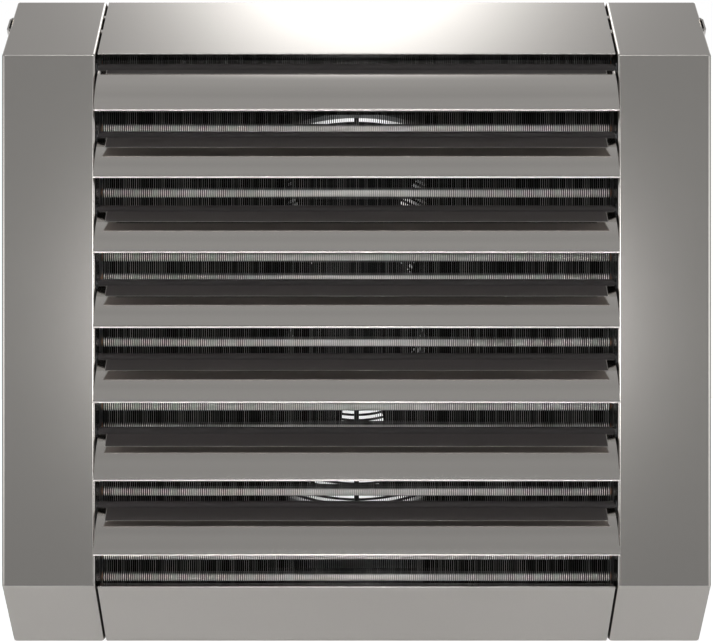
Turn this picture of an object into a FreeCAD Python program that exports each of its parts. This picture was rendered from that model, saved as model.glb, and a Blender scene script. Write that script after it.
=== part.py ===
import FreeCAD, Part
import os
import re
from math import cos, radians, sin

import Sketcher
from FreeCAD import Placement, Rotation, Vector

# Ceiling mounted fan heater with a water coil, in millimetres.
# X is the width, Y runs from the louvred front (-Y) to the fan at the rear (+Y), Z is up.
# The origin is the middle of the four ceiling fixings, on the top face of the casing.

SIZES = {
    # casing
    "casing_width": 710,
    "casing_height": 665,
    "casing_depth": 250,
    "front_setback": 160,
    "top_slope_drop": 67,
    "top_slope_depth": 75,
    "bottom_slope_rise": 66,
    "bottom_slope_depth": 57,
    "sheet": 1.5,
    "edge_radius": 3,
    "outlet_flange": 25,
    "rear_flange": 14,
    "panel_gap": 2,
    "panel_lip": 20,
    "panel_fold_radius": 1,
    "tab_width": 4.5,
    "tab_upper_place": 69,
    "tab_lower_place": 42,
    "seat_gap": 0.2,
    "rear_panel_margin": 2,
    # ceiling fixings
    "ceiling_inset": 45,
    "ceiling_spacing_y": 120,
    "rivet_nut_radius": 5.5,
    "rivet_nut_bore": 3.4,
    "rivet_nut_length": 18,
    "hole_gap": 0.1,
    # hanger loops
    "loop_start": 46.3,
    "loop_length": 26.6,
    "loop_ramp": 4,
    "loop_ramp_share": 0.6,
    "loop_height": 3,
    "loop_wall": 1.8,
    "loop_depth": 15,
    "loop_slot_length": 14,
    "loop_slot_width": 1.6,
    "loop_slot_inset": 0.8,
    # louvres
    "louvre_drop": 6.5,
    "louvre_first_shift": 6.4,
    "louvre_rest": 6.1,
    "louvre_setback": 8,
    "louvre_end_gap": 2.5,
    "louvre_lap": 16.2,
    "louvre_arc_radius": 90,
    "louvre_wall": 1.5,
    "louvre_bead_radius": 4.5,
    "louvre_nose_radius": 1.2,
    "louvre_angle_1": 37.4,
    "louvre_angle_2": 40.1,
    "louvre_angle_3": 40.9,
    "louvre_angle_4": 41.8,
    "louvre_angle_5": 42.7,
    "louvre_angle_6": 38.8,
    "louvre_angle_7": 40.6,
    "pin_radius": 2.5,
    "pin_depth": 12,
    "pin_gap": 0.06,
    "bush_radius": 4,
    "bush_flange_radius": 5.5,
    "bush_flange": 1,
    "bush_tail": 3,
    # coil
    "coil_setback": 42,
    "coil_margin": 57.5,
    "tube_pitch": 22,
    "row_pitch": 22,
    "tube_radius": 4.76,
    "tube_wall": 0.5,
    "tube_gap": 0.1,
    "fin_end_gap": 0.1,
    "leg_left": 4,
    "leg_right": 6,
    "circuit_rows": 5,
    "end_plate_margin": 2,
    "end_plate_lap": 7,
    "end_plate_flange": 20,
    "end_plate_rear": 4,
    "frame_gap": 0.2,
    "frame_front_flange": 18,
    # headers and water stubs
    "header_radius": 14,
    "header_wall": 1.2,
    "header_cap": 2,
    "header_overlap": 4,
    "header_bend_gap": 0.24,
    "header_step": 26,
    "header_side_gap": 13.5,
    "stub_radius": 11,
    "stub_wall": 1.5,
    "stub_overlap": 8,
    "stub_reach": 40,
    "thread_radius": 13.2,
    "thread_length": 16,
    "stub_inset": 18,
    "joint_gap": 0.05,
    "plug_radius": 5,
    "plug_head_radius": 8,
    "plug_head": 9,
    "plug_depth": 8,
    "grommet_radius": 16,
    "grommet_neck": 13.5,
    "grommet_inner_radius": 14.5,
    "grommet_flange": 2.5,
    "grommet_gap": 0.3,
    # fan ring and guard
    "fan_rise": 7.5,
    "ring_bore": 225,
    "ring_depth": 50,
    "bell_radius": 12,
    "ring_flange": 21,
    "ring_hole_gap": 0.5,
    "guard_setout": 23,
    "guard_wire_radius": 1.5,
    "guard_rod_radius": 3,
    "guard_pitch": 6.2,
    "guard_first_gap": 5,
    "guard_last_gap": 1,
    "guard_rod_count": 8,
    "guard_rod_lap": 24,
    "guard_rod_reach": 3,
    "guard_foot_size": 10,
    "guard_rod_end_gap": 0.3,
    "guard_foot_wall": 3,
    "guard_skirt_rings": 3,
    "motor_plate_radius": 64,
    "motor_plate_wall": 2.5,
    # motor
    "rotor_radius": 75,
    "rotor_wall": 4,
    "rotor_rim": 2,
    "rotor_gap": 14.75,
    "rotor_edge": 6,
    "cage_wall": 19,
    "cage_length": 42,
    "air_gap": 0.5,
    "stator_bore": 20,
    "core_gap": 4,
    "winding_inset": 7.5,
    "winding_rim": 8,
    "winding_length": 7,
    "flange_inset": 4,
    "flange_wall": 8,
    "bearing_radius": 14,
    "bearing_width": 8,
    "bearing_gap": 0.05,
    "shaft_radius": 6,
    "shaft_end_gap": 1,
    "motor_screw_inset": 13,
    "motor_screw_count": 4,
    # impeller
    "blade_count": 5,
    "blade_tip_gap": 15,
    "blade_sweep_angle": 50,
    "blade_first_angle": 37,
    "blade_front_inset": 2,
    "blade_rear_inset": 4,
    "blade_wall": 2,
    "blade_skew_angle": 9,
    "blade_trim": 18,
    "weld_gap": 0.1,
    # screws
    "screw_radius": 2.5,
    "screw_head_radius": 5,
    "screw_head": 3.5,
    "screw_length": 8,
    "screw_gap": 0.1,
    "screw_inset_x": 8,
    "screw_inset_z": 9,
    "screw_side_z": 285,
    "screw_top_x": 150,
    # terminal box
    "terminal_inset": 55,
    "terminal_drop": 120,
    "terminal_width": 80,
    "terminal_height": 110,
    "terminal_depth": 42,
    "terminal_wall": 2.5,
    "terminal_corner": 6,
    "terminal_lid": 7,
    "terminal_lid_rim": 3,
    "terminal_screw_inset": 8,
    "boss_radius": 4.5,
    "gland_thread_radius": 10,
    "gland_bore": 6.5,
    "gland_hex": 13.5,
    "gland_hex_length": 6,
    "gland_nut_radius": 12.5,
    "gland_nut_length": 14,
    "gland_nut_taper": 9,
    "gland_inside": 8,
}

# Planes, lines and lengths that several pieces share.
SIDE = "(casing_width / 2)"
HEADERS = "(header_bend_gap + 2 * header_radius + header_step + header_side_gap)"
BENDS = "(leg_right + tube_pitch / 2 + tube_radius)"
OUTLET = f"({SIDE} - 3 * sheet - {HEADERS} - {BENDS})"
FRONT = "(-front_setback)"
REAR = "(casing_depth - front_setback)"
REAR_FACE = f"({REAR} + sheet)"
BOTTOM = "(-casing_height)"
FRONT_TOP = "(-top_slope_drop)"
FRONT_BOTTOM = "(bottom_slope_rise - casing_height)"
OUTLET_MIDDLE = f"(({FRONT_TOP} + {FRONT_BOTTOM}) / 2)"
WEB_IN = f"({OUTLET} + sheet)"
WEB_OUT = f"({OUTLET} + 2 * sheet)"
CEILING_X = f"({SIDE} - ceiling_inset)"

LOUVRES = range(7)
PIVOT_Y = f"({FRONT} + louvre_setback)"
LOUVRE_PITCH = f"(({FRONT_TOP} - {FRONT_BOTTOM} - louvre_drop - louvre_rest) / {len(LOUVRES)})"
LOUVRE_CHORD = f"({LOUVRE_PITCH} - louvre_lap)"
LOUVRE_LENGTH = f"(2 * ({OUTLET} - louvre_end_gap))"

TUBE_ROOM = SIZES["casing_height"] - 2 * SIZES["coil_margin"]
CIRCUITS = range(int(TUBE_ROOM / (SIZES["tube_pitch"] * SIZES["circuit_rows"])))
TUBE_COUNT = len(CIRCUITS) * SIZES["circuit_rows"]
FIN_FRONT = f"({FRONT} + coil_setback)"
FIN_REAR = f"({FIN_FRONT} + 2 * row_pitch)"
FIN_HALF = f"({TUBE_COUNT} * tube_pitch / 2)"
ROW_FRONT = f"({FIN_FRONT} + row_pitch / 2)"
ROW_REAR = f"({ROW_FRONT} + row_pitch)"
TUBE_LOWEST = f"({OUTLET_MIDDLE} - {FIN_HALF} + tube_pitch / 2)"
LEG_RIGHT = f"({WEB_OUT} + leg_right)"
SUPPLY_X = f"({WEB_OUT} + {BENDS} + header_bend_gap + header_radius)"
RETURN_X = f"({SUPPLY_X} + header_step)"

FAN_Z = f"({BOTTOM} / 2 + fan_rise)"
FOOT_RADIUS = "(ring_bore + bell_radius + ring_flange / 2)"
GUARD_Y = f"({REAR} + guard_setout)"
PLATE_FRONT = f"({GUARD_Y} - guard_rod_radius - motor_plate_wall / 2)"
ROD_BEND = "(ring_bore + guard_rod_reach)"
ROD_END_RADIUS = f"({FOOT_RADIUS} - screw_head_radius - guard_rod_radius - guard_rod_end_gap)"
ROD_END_Y = f"({REAR_FACE} + sheet + guard_foot_wall / 2 + guard_rod_radius / 2)"
RING_OFF_ROD = "(guard_rod_radius + guard_wire_radius + weld_gap)"
SKIRT_RUN = f"({ROD_END_RADIUS} - {ROD_BEND})"
SKIRT_FALL = f"({GUARD_Y} - {ROD_END_Y})"
SKIRT = f"sqrt({SKIRT_RUN} * {SKIRT_RUN} + {SKIRT_FALL} * {SKIRT_FALL})"
SKIRT_SHARE = 0.85      # of the sloped end carries rings

ROTOR_BACK = f"({PLATE_FRONT} - flange_wall - rotor_gap)"
CORE_FRONT = f"({ROTOR_BACK} - rotor_rim - winding_length - cage_length)"
HUB_FRONT = f"({CORE_FRONT} - core_gap)"
ROTOR_FRONT = f"({HUB_FRONT} - winding_length - rotor_wall)"
ROTOR_INSIDE = "(rotor_radius - rotor_wall)"
STATOR_RADIUS = f"({ROTOR_INSIDE} - cage_wall - air_gap)"
TERMINAL_X = f"(terminal_inset - {SIDE})"
BLADE_WIDTH = f"({ROTOR_BACK} - {ROTOR_FRONT} - blade_front_inset - blade_rear_inset)"

AXES = {
    "+X": Rotation(Vector(0, 1, 0), 90),
    "-X": Rotation(Vector(0, 1, 0), -90),
    "+Y": Rotation(Vector(1, 0, 0), -90),
    "-Y": Rotation(Vector(1, 0, 0), 90),
    "+Z": Rotation(),
    "-Z": Rotation(Vector(1, 0, 0), 180),
}

CLOSE = 0.01            # edges this near a level lie on it

doc = FreeCAD.newDocument("fan_heater")
sheet = doc.addObject("Spreadsheet::Sheet", "sizes")
pieces = []


# ---------------------------------------------------------------- helpers

def fill_sheet():
    for row, (name, number) in enumerate(SIZES.items(), start=1):
        sheet.set(f"A{row}", name)
        sheet.set(f"B{row}", str(number))
        sheet.setAlias(f"B{row}", name)
    doc.recompute()


def formula(text):
    """The text with each size's name turned into a reference to its cell."""
    return re.sub(r"[a-z]\w*", lambda m: f"sizes.{m[0]}" if m[0] in SIZES else m[0], str(text))


def value(text):
    return float(sheet.evalExpression(formula(text)))


def bind(thing, **links):
    for name, text in links.items():
        thing.setExpression(name, formula(text))
    return thing


def place(thing, at, axis="+Z"):
    thing.Placement = Placement(Vector(), AXES[axis])
    for name, text in zip("xyz", at):
        thing.setExpression(f"Placement.Base.{name}", formula(text))
    return thing


def tilt(thing, angle):
    """Turns a placed thing about X by an angle in degrees."""
    thing.Placement.Rotation = Rotation(Vector(1, 0, 0), 1)     # a turn of nought has no axis
    thing.setExpression("Placement.Rotation.Angle", formula(angle))
    return thing


def box(name, x, y, z):
    """A box between pairs of limits."""
    made = doc.addObject("Part::Box", name)
    sides = {side: f"({high}) - ({low})" for side, (low, high) in
             zip(("Length", "Width", "Height"), (x, y, z))}
    bind(made, **sides)
    return place(made, (x[0], y[0], z[0]))


def cylinder(name, radius, length, at, axis="+Z"):
    made = doc.addObject("Part::Cylinder", name)
    bind(made, Radius=radius, Height=length)
    return place(made, at, axis)


def hexagon(name, circumradius, length, at, axis="+Z"):
    made = doc.addObject("Part::Prism", name)
    made.Polygon = 6
    bind(made, Circumradius=circumradius, Height=length)
    return place(made, at, axis)


def group(name, things):
    made = doc.addObject("Part::Compound", name)
    made.Links = things
    return made


def fuse(name, things):
    made = doc.addObject("Part::MultiFuse", name)
    made.Shapes = things
    return made


def cut(name, base, tools):
    made = doc.addObject("Part::Cut", name)
    made.Base = base
    made.Tool = tools[0] if len(tools) == 1 else group(f"{name}_tools", tools)
    return made


def tube(name, outer, inner, length, at, axis="+Z"):
    return cut(name, cylinder(f"{name}_outside", outer, length, at, axis),
               [cylinder(f"{name}_inside", inner, length, at, axis)])


def mirror(name, source):
    """The source mirrored from the right side to the left."""
    made = doc.addObject("Part::Mirroring", name)
    made.Source = source
    made.Normal = Vector(1, 0, 0)
    return made


def piece(label, thing):
    thing.Label = label
    pieces.append(thing)
    return thing


def new_body(name):
    return doc.addObject("PartDesign::Body", name)


def origin(body, role):
    return next(part for part in body.Origin.OriginFeatures if part.Role == role)


def new_sketch(body, plane, offset="0"):
    made = body.newObject("Sketcher::SketchObject", "sketch")
    made.AttachmentSupport = [(origin(body, plane), "")]
    made.MapMode = "FlatFace"
    made.setExpression("AttachmentOffset.Base.z", formula(offset))
    return made


def pin_point(drawing, geometry, end, x, y):
    """Ties one point of a sketch to its two coordinates."""
    for kind, text in (("DistanceX", x), ("DistanceY", y)):
        made = drawing.addConstraint(Sketcher.Constraint(kind, -1, 1, geometry, end, value(text)))
        drawing.setExpression(f"Constraints[{made}]", formula(text))


def polygon(body, plane, points, offset="0"):
    drawing = new_sketch(body, plane, offset)
    corners = [Vector(value(x), value(y), 0) for x, y in points]
    for start, end in zip(corners, corners[1:] + corners[:1]):
        drawing.addGeometry(Part.LineSegment(start, end))
    for side in range(len(points)):
        after = (side + 1) % len(points)
        drawing.addConstraint(Sketcher.Constraint("Coincident", side, 2, after, 1))
    for side, (x, y) in enumerate(points):
        pin_point(drawing, side, 1, x, y)
    return drawing


def rectangle(body, plane, x, y, offset="0"):
    corners = [(x[0], y[0]), (x[1], y[0]), (x[1], y[1]), (x[0], y[1])]
    return polygon(body, plane, corners, offset)


def circles(body, plane, rounds, offset="0"):
    """Circles given as (x, y, radius)."""
    drawing = new_sketch(body, plane, offset)
    for x, y, radius in rounds:
        middle = Vector(value(x), value(y), 0)
        round_edge = drawing.addGeometry(Part.Circle(middle, Vector(0, 0, 1), value(radius)))
        pin_point(drawing, round_edge, 3, x, y)
        made = drawing.addConstraint(Sketcher.Constraint("Radius", round_edge, value(radius)))
        drawing.setExpression(f"Constraints[{made}]", formula(radius))
    return drawing


def pad(body, drawing, length, both_ways=False):
    made = body.newObject("PartDesign::Pad", "pad")
    made.Profile = drawing
    made.Midplane = both_ways
    return bind(made, Length=length)


def pocket_through(body, drawing):
    made = body.newObject("PartDesign::Pocket", "pocket")
    made.Profile = drawing
    made.Type = "ThroughAll"
    made.Midplane = True
    return made


def repeat_up(body, feature, count, pitch):
    """Copies a feature along Z at a pitch."""
    made = body.newObject("PartDesign::LinearPattern", "pattern")
    made.Originals = [feature]
    made.Direction = (origin(body, "Z_Axis"), [""])
    made.Mode = "Spacing"
    bind(made, Occurrences=count, Offset=pitch)
    body.Tip = made
    return made


def round_edges(body, radius, chosen=lambda edge: True):
    """Rounds the edges of the body's last feature that the test picks."""
    doc.recompute()
    last = body.Tip
    names = [f"Edge{n}" for n, edge in enumerate(last.Shape.Edges, start=1) if chosen(edge)]
    made = body.newObject("PartDesign::Fillet", "fillet")
    made.Base = (last, names)
    return bind(made, Radius=radius)


def runs_along(edge, direction):
    return edge.Length > 0 and abs(edge.tangentAt(edge.FirstParameter).dot(direction)) > 0.999


def screws(name, places, axis, length="screw_length", seat="0"):
    """Screws whose heads sit on the plane through their places and whose stems run along axis."""
    back = {"+Y": "-Y", "-Y": "+Y", "+Z": "-Z", "-Z": "+Z"}[axis]
    made = []
    for x, y, z in places:
        head = cylinder("screw_head", "screw_head_radius", "screw_head", (x, y, z), back)
        stem = cylinder("screw_stem", "screw_radius", length, (x, y, z), axis)
        made.append(fuse("screw", [head, stem]))
    return group(name, made)


def screw_holes(places, length, axis):
    return [cylinder("screw_hole", "screw_radius + screw_gap", length, at, axis) for at in places]


# ---------------------------------------------------------------- casing

def slope(rise, depth):
    """Steepness of a slope, and how much longer it is than its depth."""
    steep = f"({rise} / {depth})"
    return steep, f"sqrt(1 + {steep} * {steep})"


TOP_STEEP, TOP_STRETCH = slope("top_slope_drop", "top_slope_depth")
LOW_STEEP, LOW_STRETCH = slope("bottom_slope_rise", "bottom_slope_depth")


def casing_outline(inset):
    """Corners of the casing's side view, moved in by an inset."""
    top_shift = f"({inset}) * ({TOP_STRETCH} - 1) / {TOP_STEEP}"
    low_shift = f"({inset}) * ({LOW_STRETCH} - 1) / {LOW_STEEP}"
    return [
        (f"{FRONT} + ({inset})", f"{FRONT_BOTTOM} + ({inset}) * ({LOW_STRETCH} - {LOW_STEEP})"),
        (f"{FRONT} + ({inset})", f"{FRONT_TOP} - ({inset}) * ({TOP_STRETCH} - {TOP_STEEP})"),
        (f"{FRONT} + top_slope_depth + {top_shift}", f"-({inset})"),
        (f"{REAR} - ({inset})", f"-({inset})"),
        (f"{REAR} - ({inset})", f"{BOTTOM} + ({inset})"),
        (f"{FRONT} + bottom_slope_depth + {low_shift}", f"{BOTTOM} + ({inset})"),
    ]


def casing_prism(name, inset, low, high, radius):
    """The side view between two planes across X, with all its edges rounded."""
    body = new_body(name)
    pad(body, polygon(body, "YZ_Plane", casing_outline(inset), low), f"({high}) - ({low})")
    if radius:
        round_edges(body, radius)
    return body


def outlet_window():
    """What opens the cap towards the middle: its flanges stay at the front, top and bottom."""
    body = new_body("outlet_window")
    corners = casing_outline("outlet_flange")
    corners[3] = (f"{REAR} + sheet", corners[3][1])
    corners[4] = (f"{REAR} + sheet", corners[4][1])
    pad(body, polygon(body, "YZ_Plane", corners, f"{OUTLET} - sheet"), "3 * sheet")
    return body


def ceiling_places(side=None):
    signs = [side] if side else [-1, 1]
    return [(f"{x} * {CEILING_X}", f"{y} * ceiling_spacing_y / 2", "0")
            for x in signs for y in (-1, 1)]


def louvre_height(number):
    shift = "0" if number else "louvre_first_shift"
    return f"({FRONT_TOP} - louvre_drop - {number} * {LOUVRE_PITCH} - {shift})"


def side_screw_places(side):
    heights = (f"{BOTTOM} / 2 + screw_side_z", f"{BOTTOM} / 2", f"{BOTTOM} / 2 - screw_side_z")
    return [(f"{side} * ({SIDE} - screw_inset_x)", REAR_FACE, height) for height in heights]


def middle_screw_places():
    return [(f"{side} * screw_top_x", REAR_FACE, height)
            for side in (-1, 1) for height in ("-screw_inset_z", f"{BOTTOM} + screw_inset_z")]


def slope_point(along, out):
    """A point of the top slope's plane at X = side, given along it and out of it."""
    return (SIDE, f"{FRONT} + (({along}) - ({out}) * {TOP_STEEP}) / {TOP_STRETCH}",
            f"{FRONT_TOP} + (({along}) * {TOP_STEEP} + ({out})) / {TOP_STRETCH}")


SLOPE_ANGLE = "atan(top_slope_drop / top_slope_depth)"


def hanger_slot():
    """The slot at the cap's edge, in front of the hanger loop."""
    start = "loop_start + (loop_length - loop_slot_length) / 2"
    made = doc.addObject("Part::Box", "hanger_slot")
    bind(made, Length="loop_slot_width", Width="loop_slot_length", Height="2 * sheet + 1")
    x, y, z = slope_point(start, "-2 * sheet")
    place(made, (f"{x} - loop_slot_inset - loop_slot_width", y, z))
    return tilt(made, SLOPE_ANGLE)


def casing_side():
    shell = casing_prism("cap_outside", "0", OUTLET, SIDE, "edge_radius")
    hollow = casing_prism("cap_inside", "sheet", WEB_IN, f"{SIDE} - sheet", "edge_radius - sheet")
    back = box("rear_window", (f"{OUTLET} - sheet", f"{SIDE} - rear_flange"),
               (f"{REAR} - 2 * sheet", f"{REAR} + sheet"),
               (f"{BOTTOM} + rear_flange", "-rear_flange"))
    holes = [cylinder("rivet_nut_hole", "rivet_nut_radius + hole_gap", "6 * sheet", at, "-Z")
             for at in ceiling_places(1)]
    holes += [cylinder("bush_hole", "bush_radius", "3 * sheet",
                       (f"{OUTLET} - sheet", PIVOT_Y, louvre_height(n)), "+X") for n in LOUVRES]
    holes += screw_holes(side_screw_places(1), "4 * sheet", "-Y")
    holes += [cylinder("stub_notch", "grommet_inner_radius + grommet_gap", "4 * sheet",
                       (x, f"{REAR} - 3 * sheet", z), "+Y") for x, _, z in stub_places().values()]
    return cut("cap", shell, [hollow, outlet_window(), back, hanger_slot()] + holes)


def centre_panel(name, rise, depth, steep, stretch, height):
    """A sheet with a slope, folded under at the front and down at the rear.
    height gives the level of a point from its distance inside the casing."""
    body = new_body(name)
    bend = f"{FRONT} + {depth} + sheet * ({stretch} - 1) / {steep}"
    corners = [
        (FRONT, height(rise)),
        (f"{FRONT} + panel_lip", height(rise)),
        (f"{FRONT} + panel_lip", height(f"{rise} - sheet")),
        (f"{FRONT} + sheet * (1 + {stretch}) / {steep}", height(f"{rise} - sheet")),
        (bend, height("sheet")),
        (f"{REAR} - sheet", height("sheet")),
        (f"{REAR} - sheet", height("rear_flange")),
        (REAR, height("rear_flange")),
        (REAR, height("0")),
        (f"{FRONT} + {depth}", height("0")),
    ]
    drawing = polygon(body, "YZ_Plane", corners)
    pad(body, drawing, f"2 * ({OUTLET} - panel_gap)", both_ways=True)
    across = Vector(1, 0, 0)
    level = value(height("0"))
    inside = value("sheet") / 2

    def outer_bend(edge):
        middle = edge.CenterOfMass
        return runs_along(edge, across) and abs(middle.z - level) < inside

    def front_fold(edge):
        return runs_along(edge, across) and abs(edge.CenterOfMass.y - value(FRONT)) < inside

    round_edges(body, "edge_radius", outer_bend)
    round_edges(body, "panel_fold_radius", front_fold)
    return body


def top_panel():
    panel = centre_panel("top_panel", "top_slope_drop", "top_slope_depth", TOP_STEEP, TOP_STRETCH,
                         lambda inside: f"-({inside})")
    parts = [panel]
    for along in ("tab_upper_place", "tab_lower_place"):
        for side in (-1, 1):
            tab = doc.addObject("Part::Box", "tab")
            bind(tab, Length="panel_gap + sheet - seat_gap", Width="tab_width", Height="sheet")
            _, y, z = slope_point(along, "-sheet")
            start = f"{OUTLET} - panel_gap - sheet" if side > 0 else f"seat_gap - {OUTLET}"
            parts.append(tilt(place(tab, (start, y, z)), SLOPE_ANGLE))
    return fuse("top_panel_with_tabs", parts)


def bottom_panel():
    return centre_panel("bottom_panel", "bottom_slope_rise", "bottom_slope_depth",
                        LOW_STEEP, LOW_STRETCH, lambda inside: f"{BOTTOM} + ({inside})")


def hanger_loop():
    """A bridge on the side wall, along the upper slope's edge."""
    body = new_body("hanger_loop_right_body")
    ramp, length = "loop_ramp", "loop_length"
    inner, foot = "(loop_height - loop_wall)", "(loop_wall + loop_ramp * loop_ramp_share)"
    drawing = polygon(body, "XY_Plane", [
        ("0", "0"), ("loop_height", ramp), ("loop_height", f"{length} - {ramp}"), ("0", length),
        ("0", f"{length} - {foot}"), (inner, f"{length} - {ramp} - loop_wall"),
        (inner, f"{ramp} + loop_wall"), ("0", foot)])
    made = pad(body, drawing, "loop_depth")
    made.Reversed = True
    place(body, slope_point("loop_start", "-edge_radius / 2"))
    return tilt(body, SLOPE_ANGLE)


def stub_places():
    """Where the supply and return stubs leave the headers."""
    low = f"({OUTLET_MIDDLE} - {FIN_HALF} + header_overlap + stub_inset)"
    high = f"({OUTLET_MIDDLE} + {FIN_HALF} - header_overlap - stub_inset)"
    return {"supply": (SUPPLY_X, ROW_FRONT, low), "return": (RETURN_X, ROW_REAR, high)}


def guard_places():
    """Feet of the guard's rods, as angles round the fan's axis."""
    step = 360 / SIZES["guard_rod_count"]
    return [n * step for n in range(SIZES["guard_rod_count"])]


def round_fan(radius, angle, y):
    """A point at a radius and an angle round the fan's axis."""
    return (f"({radius}) * cos({angle} deg)", y, f"{FAN_Z} + ({radius}) * sin({angle} deg)")


def rear_panel():
    plate = new_body("rear_plate")
    drawing = rectangle(plate, "XZ_Plane",
                        (f"rear_panel_margin - {SIDE}", f"{SIDE} - rear_panel_margin"),
                        (f"{BOTTOM} + rear_panel_margin", "-rear_panel_margin"), f"-{REAR_FACE}")
    pad(plate, drawing, "sheet")
    round_edges(plate, "edge_radius", lambda edge: runs_along(edge, Vector(0, 1, 0)))
    front = f"{REAR} - sheet"
    holes = [cylinder("fan_hole", "ring_bore + bell_radius + ring_hole_gap", "4 * sheet",
                      ("0", front, FAN_Z), "+Y")]
    for x, _, z in stub_places().values():
        holes.append(cylinder("stub_hole", "grommet_neck + hole_gap", "4 * sheet",
                              (x, front, z), "+Y"))
    rear_screws = side_screw_places(1) + side_screw_places(-1) + middle_screw_places()
    holes += screw_holes(rear_screws, "4 * sheet", "-Y")
    feet = [round_fan(FOOT_RADIUS, angle, f"{REAR_FACE} + 2 * sheet")
            for angle in guard_places()]
    return cut("rear_plate_with_holes", plate, holes + screw_holes(feet, "5 * sheet", "-Y"))


def inlet_ring():
    """A rolled ring: a flange on the rear panel that turns forward into the fan's bore."""
    body = new_body("ring_body")
    rim = "(ring_bore + bell_radius + ring_flange)"
    drawing = polygon(body, "XY_Plane", [
        ("ring_bore", f"{REAR} - ring_depth"), (f"ring_bore + sheet", f"{REAR} - ring_depth"),
        ("ring_bore + sheet", REAR_FACE), (rim, REAR_FACE),
        (rim, f"{REAR_FACE} + sheet"), ("ring_bore", f"{REAR_FACE} + sheet")])
    turn = body.newObject("PartDesign::Revolution", "revolution")
    turn.Profile = drawing
    turn.ReferenceAxis = (drawing, ["V_Axis"])
    turn.Angle = 360
    doc.recompute()
    bore, y = value("ring_bore"), value(REAR_FACE)

    def bend(radius, level):
        return lambda edge: (abs(edge.CenterOfMass.y - level) < CLOSE
                             and abs(edge.BoundBox.XMax - radius) < CLOSE)

    wall = value("sheet")
    round_edges(body, "bell_radius", bend(bore, y + wall))
    round_edges(body, "bell_radius - sheet", bend(bore + wall, y))
    place(body, ("0", "0", FAN_Z))
    feet = [round_fan(FOOT_RADIUS, angle, f"{REAR_FACE} + 2 * sheet")
            for angle in guard_places()]
    return cut("inlet_ring", body, screw_holes(feet, "5 * sheet", "-Y"))


def make_casing():
    right = piece("casing_side_right", casing_side())
    piece("casing_side_left", mirror("cap_left", right))
    piece("casing_top_panel", cut("top_panel_with_holes", top_panel(), screw_holes(
        middle_screw_places(), "4 * sheet", "-Y")))
    piece("casing_bottom_panel", cut("bottom_panel_with_holes", bottom_panel(), screw_holes(
        middle_screw_places(), "4 * sheet", "-Y")))
    piece("rear_panel", rear_panel())
    piece("fan_inlet_ring", inlet_ring())
    loop = piece("hanger_loop_right", hanger_loop())
    piece("hanger_loop_left", mirror("loop_left", loop))
    nuts = [tube("rivet_nut", "rivet_nut_radius", "rivet_nut_bore", "rivet_nut_length", at, "-Z")
            for at in ceiling_places()]
    piece("ceiling_rivet_nuts", group("rivet_nuts", nuts))
    places = side_screw_places(1) + side_screw_places(-1) + middle_screw_places()
    piece("casing_screws", screws("casing_screw_set", places, "-Y"))


# ---------------------------------------------------------------- louvres

def louvre_bush(side, number):
    out, back = ("+X", "-X") if side > 0 else ("-X", "+X")
    face = (f"{side} * {OUTLET}", PIVOT_Y, louvre_height(number))
    body = cylinder("bush_neck", "bush_radius - joint_gap", "sheet + bush_tail", face, out)
    flange = cylinder("bush_flange_disc", "bush_flange_radius", "bush_flange", face, back)
    start = (f"{side} * ({OUTLET} - 2 * bush_flange)", PIVOT_Y, louvre_height(number))
    bore = cylinder("bush_bore", "pin_radius + pin_gap", "sheet + bush_tail + 4 * bush_flange",
                    start, out)
    return cut("bush", fuse("bush_solid", [body, flange]), [bore])


def louvre_profile(body):
    """The curved sheet of a closed blade: it hangs from the pivot and bulges forward."""
    drawing = new_sketch(body, "YZ_Plane")
    centre_y = f"sqrt(louvre_arc_radius * louvre_arc_radius - {LOUVRE_CHORD} * {LOUVRE_CHORD} / 4)"
    chord = value(LOUVRE_CHORD)
    middle = Vector(value(centre_y), -chord / 2, 0)
    half = value("louvre_wall") / 2
    ends = (0, -chord)
    radii = (value("louvre_arc_radius") + half, value("louvre_arc_radius") - half)
    corners = []
    for radius in radii:
        for level in ends:
            back = (radius ** 2 - (level - middle.y) ** 2) ** 0.5
            corners.append(Vector(middle.x - back, level, 0))
    for radius, upper, lower in ((radii[0], 0, 1), (radii[1], 2, 3)):
        peak = Vector(middle.x - radius, middle.y, 0)
        drawing.addGeometry(Part.Arc(corners[upper], peak, corners[lower]))
    drawing.addGeometry(Part.LineSegment(corners[0], corners[2]))
    drawing.addGeometry(Part.LineSegment(corners[1], corners[3]))
    return drawing, centre_y


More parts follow.
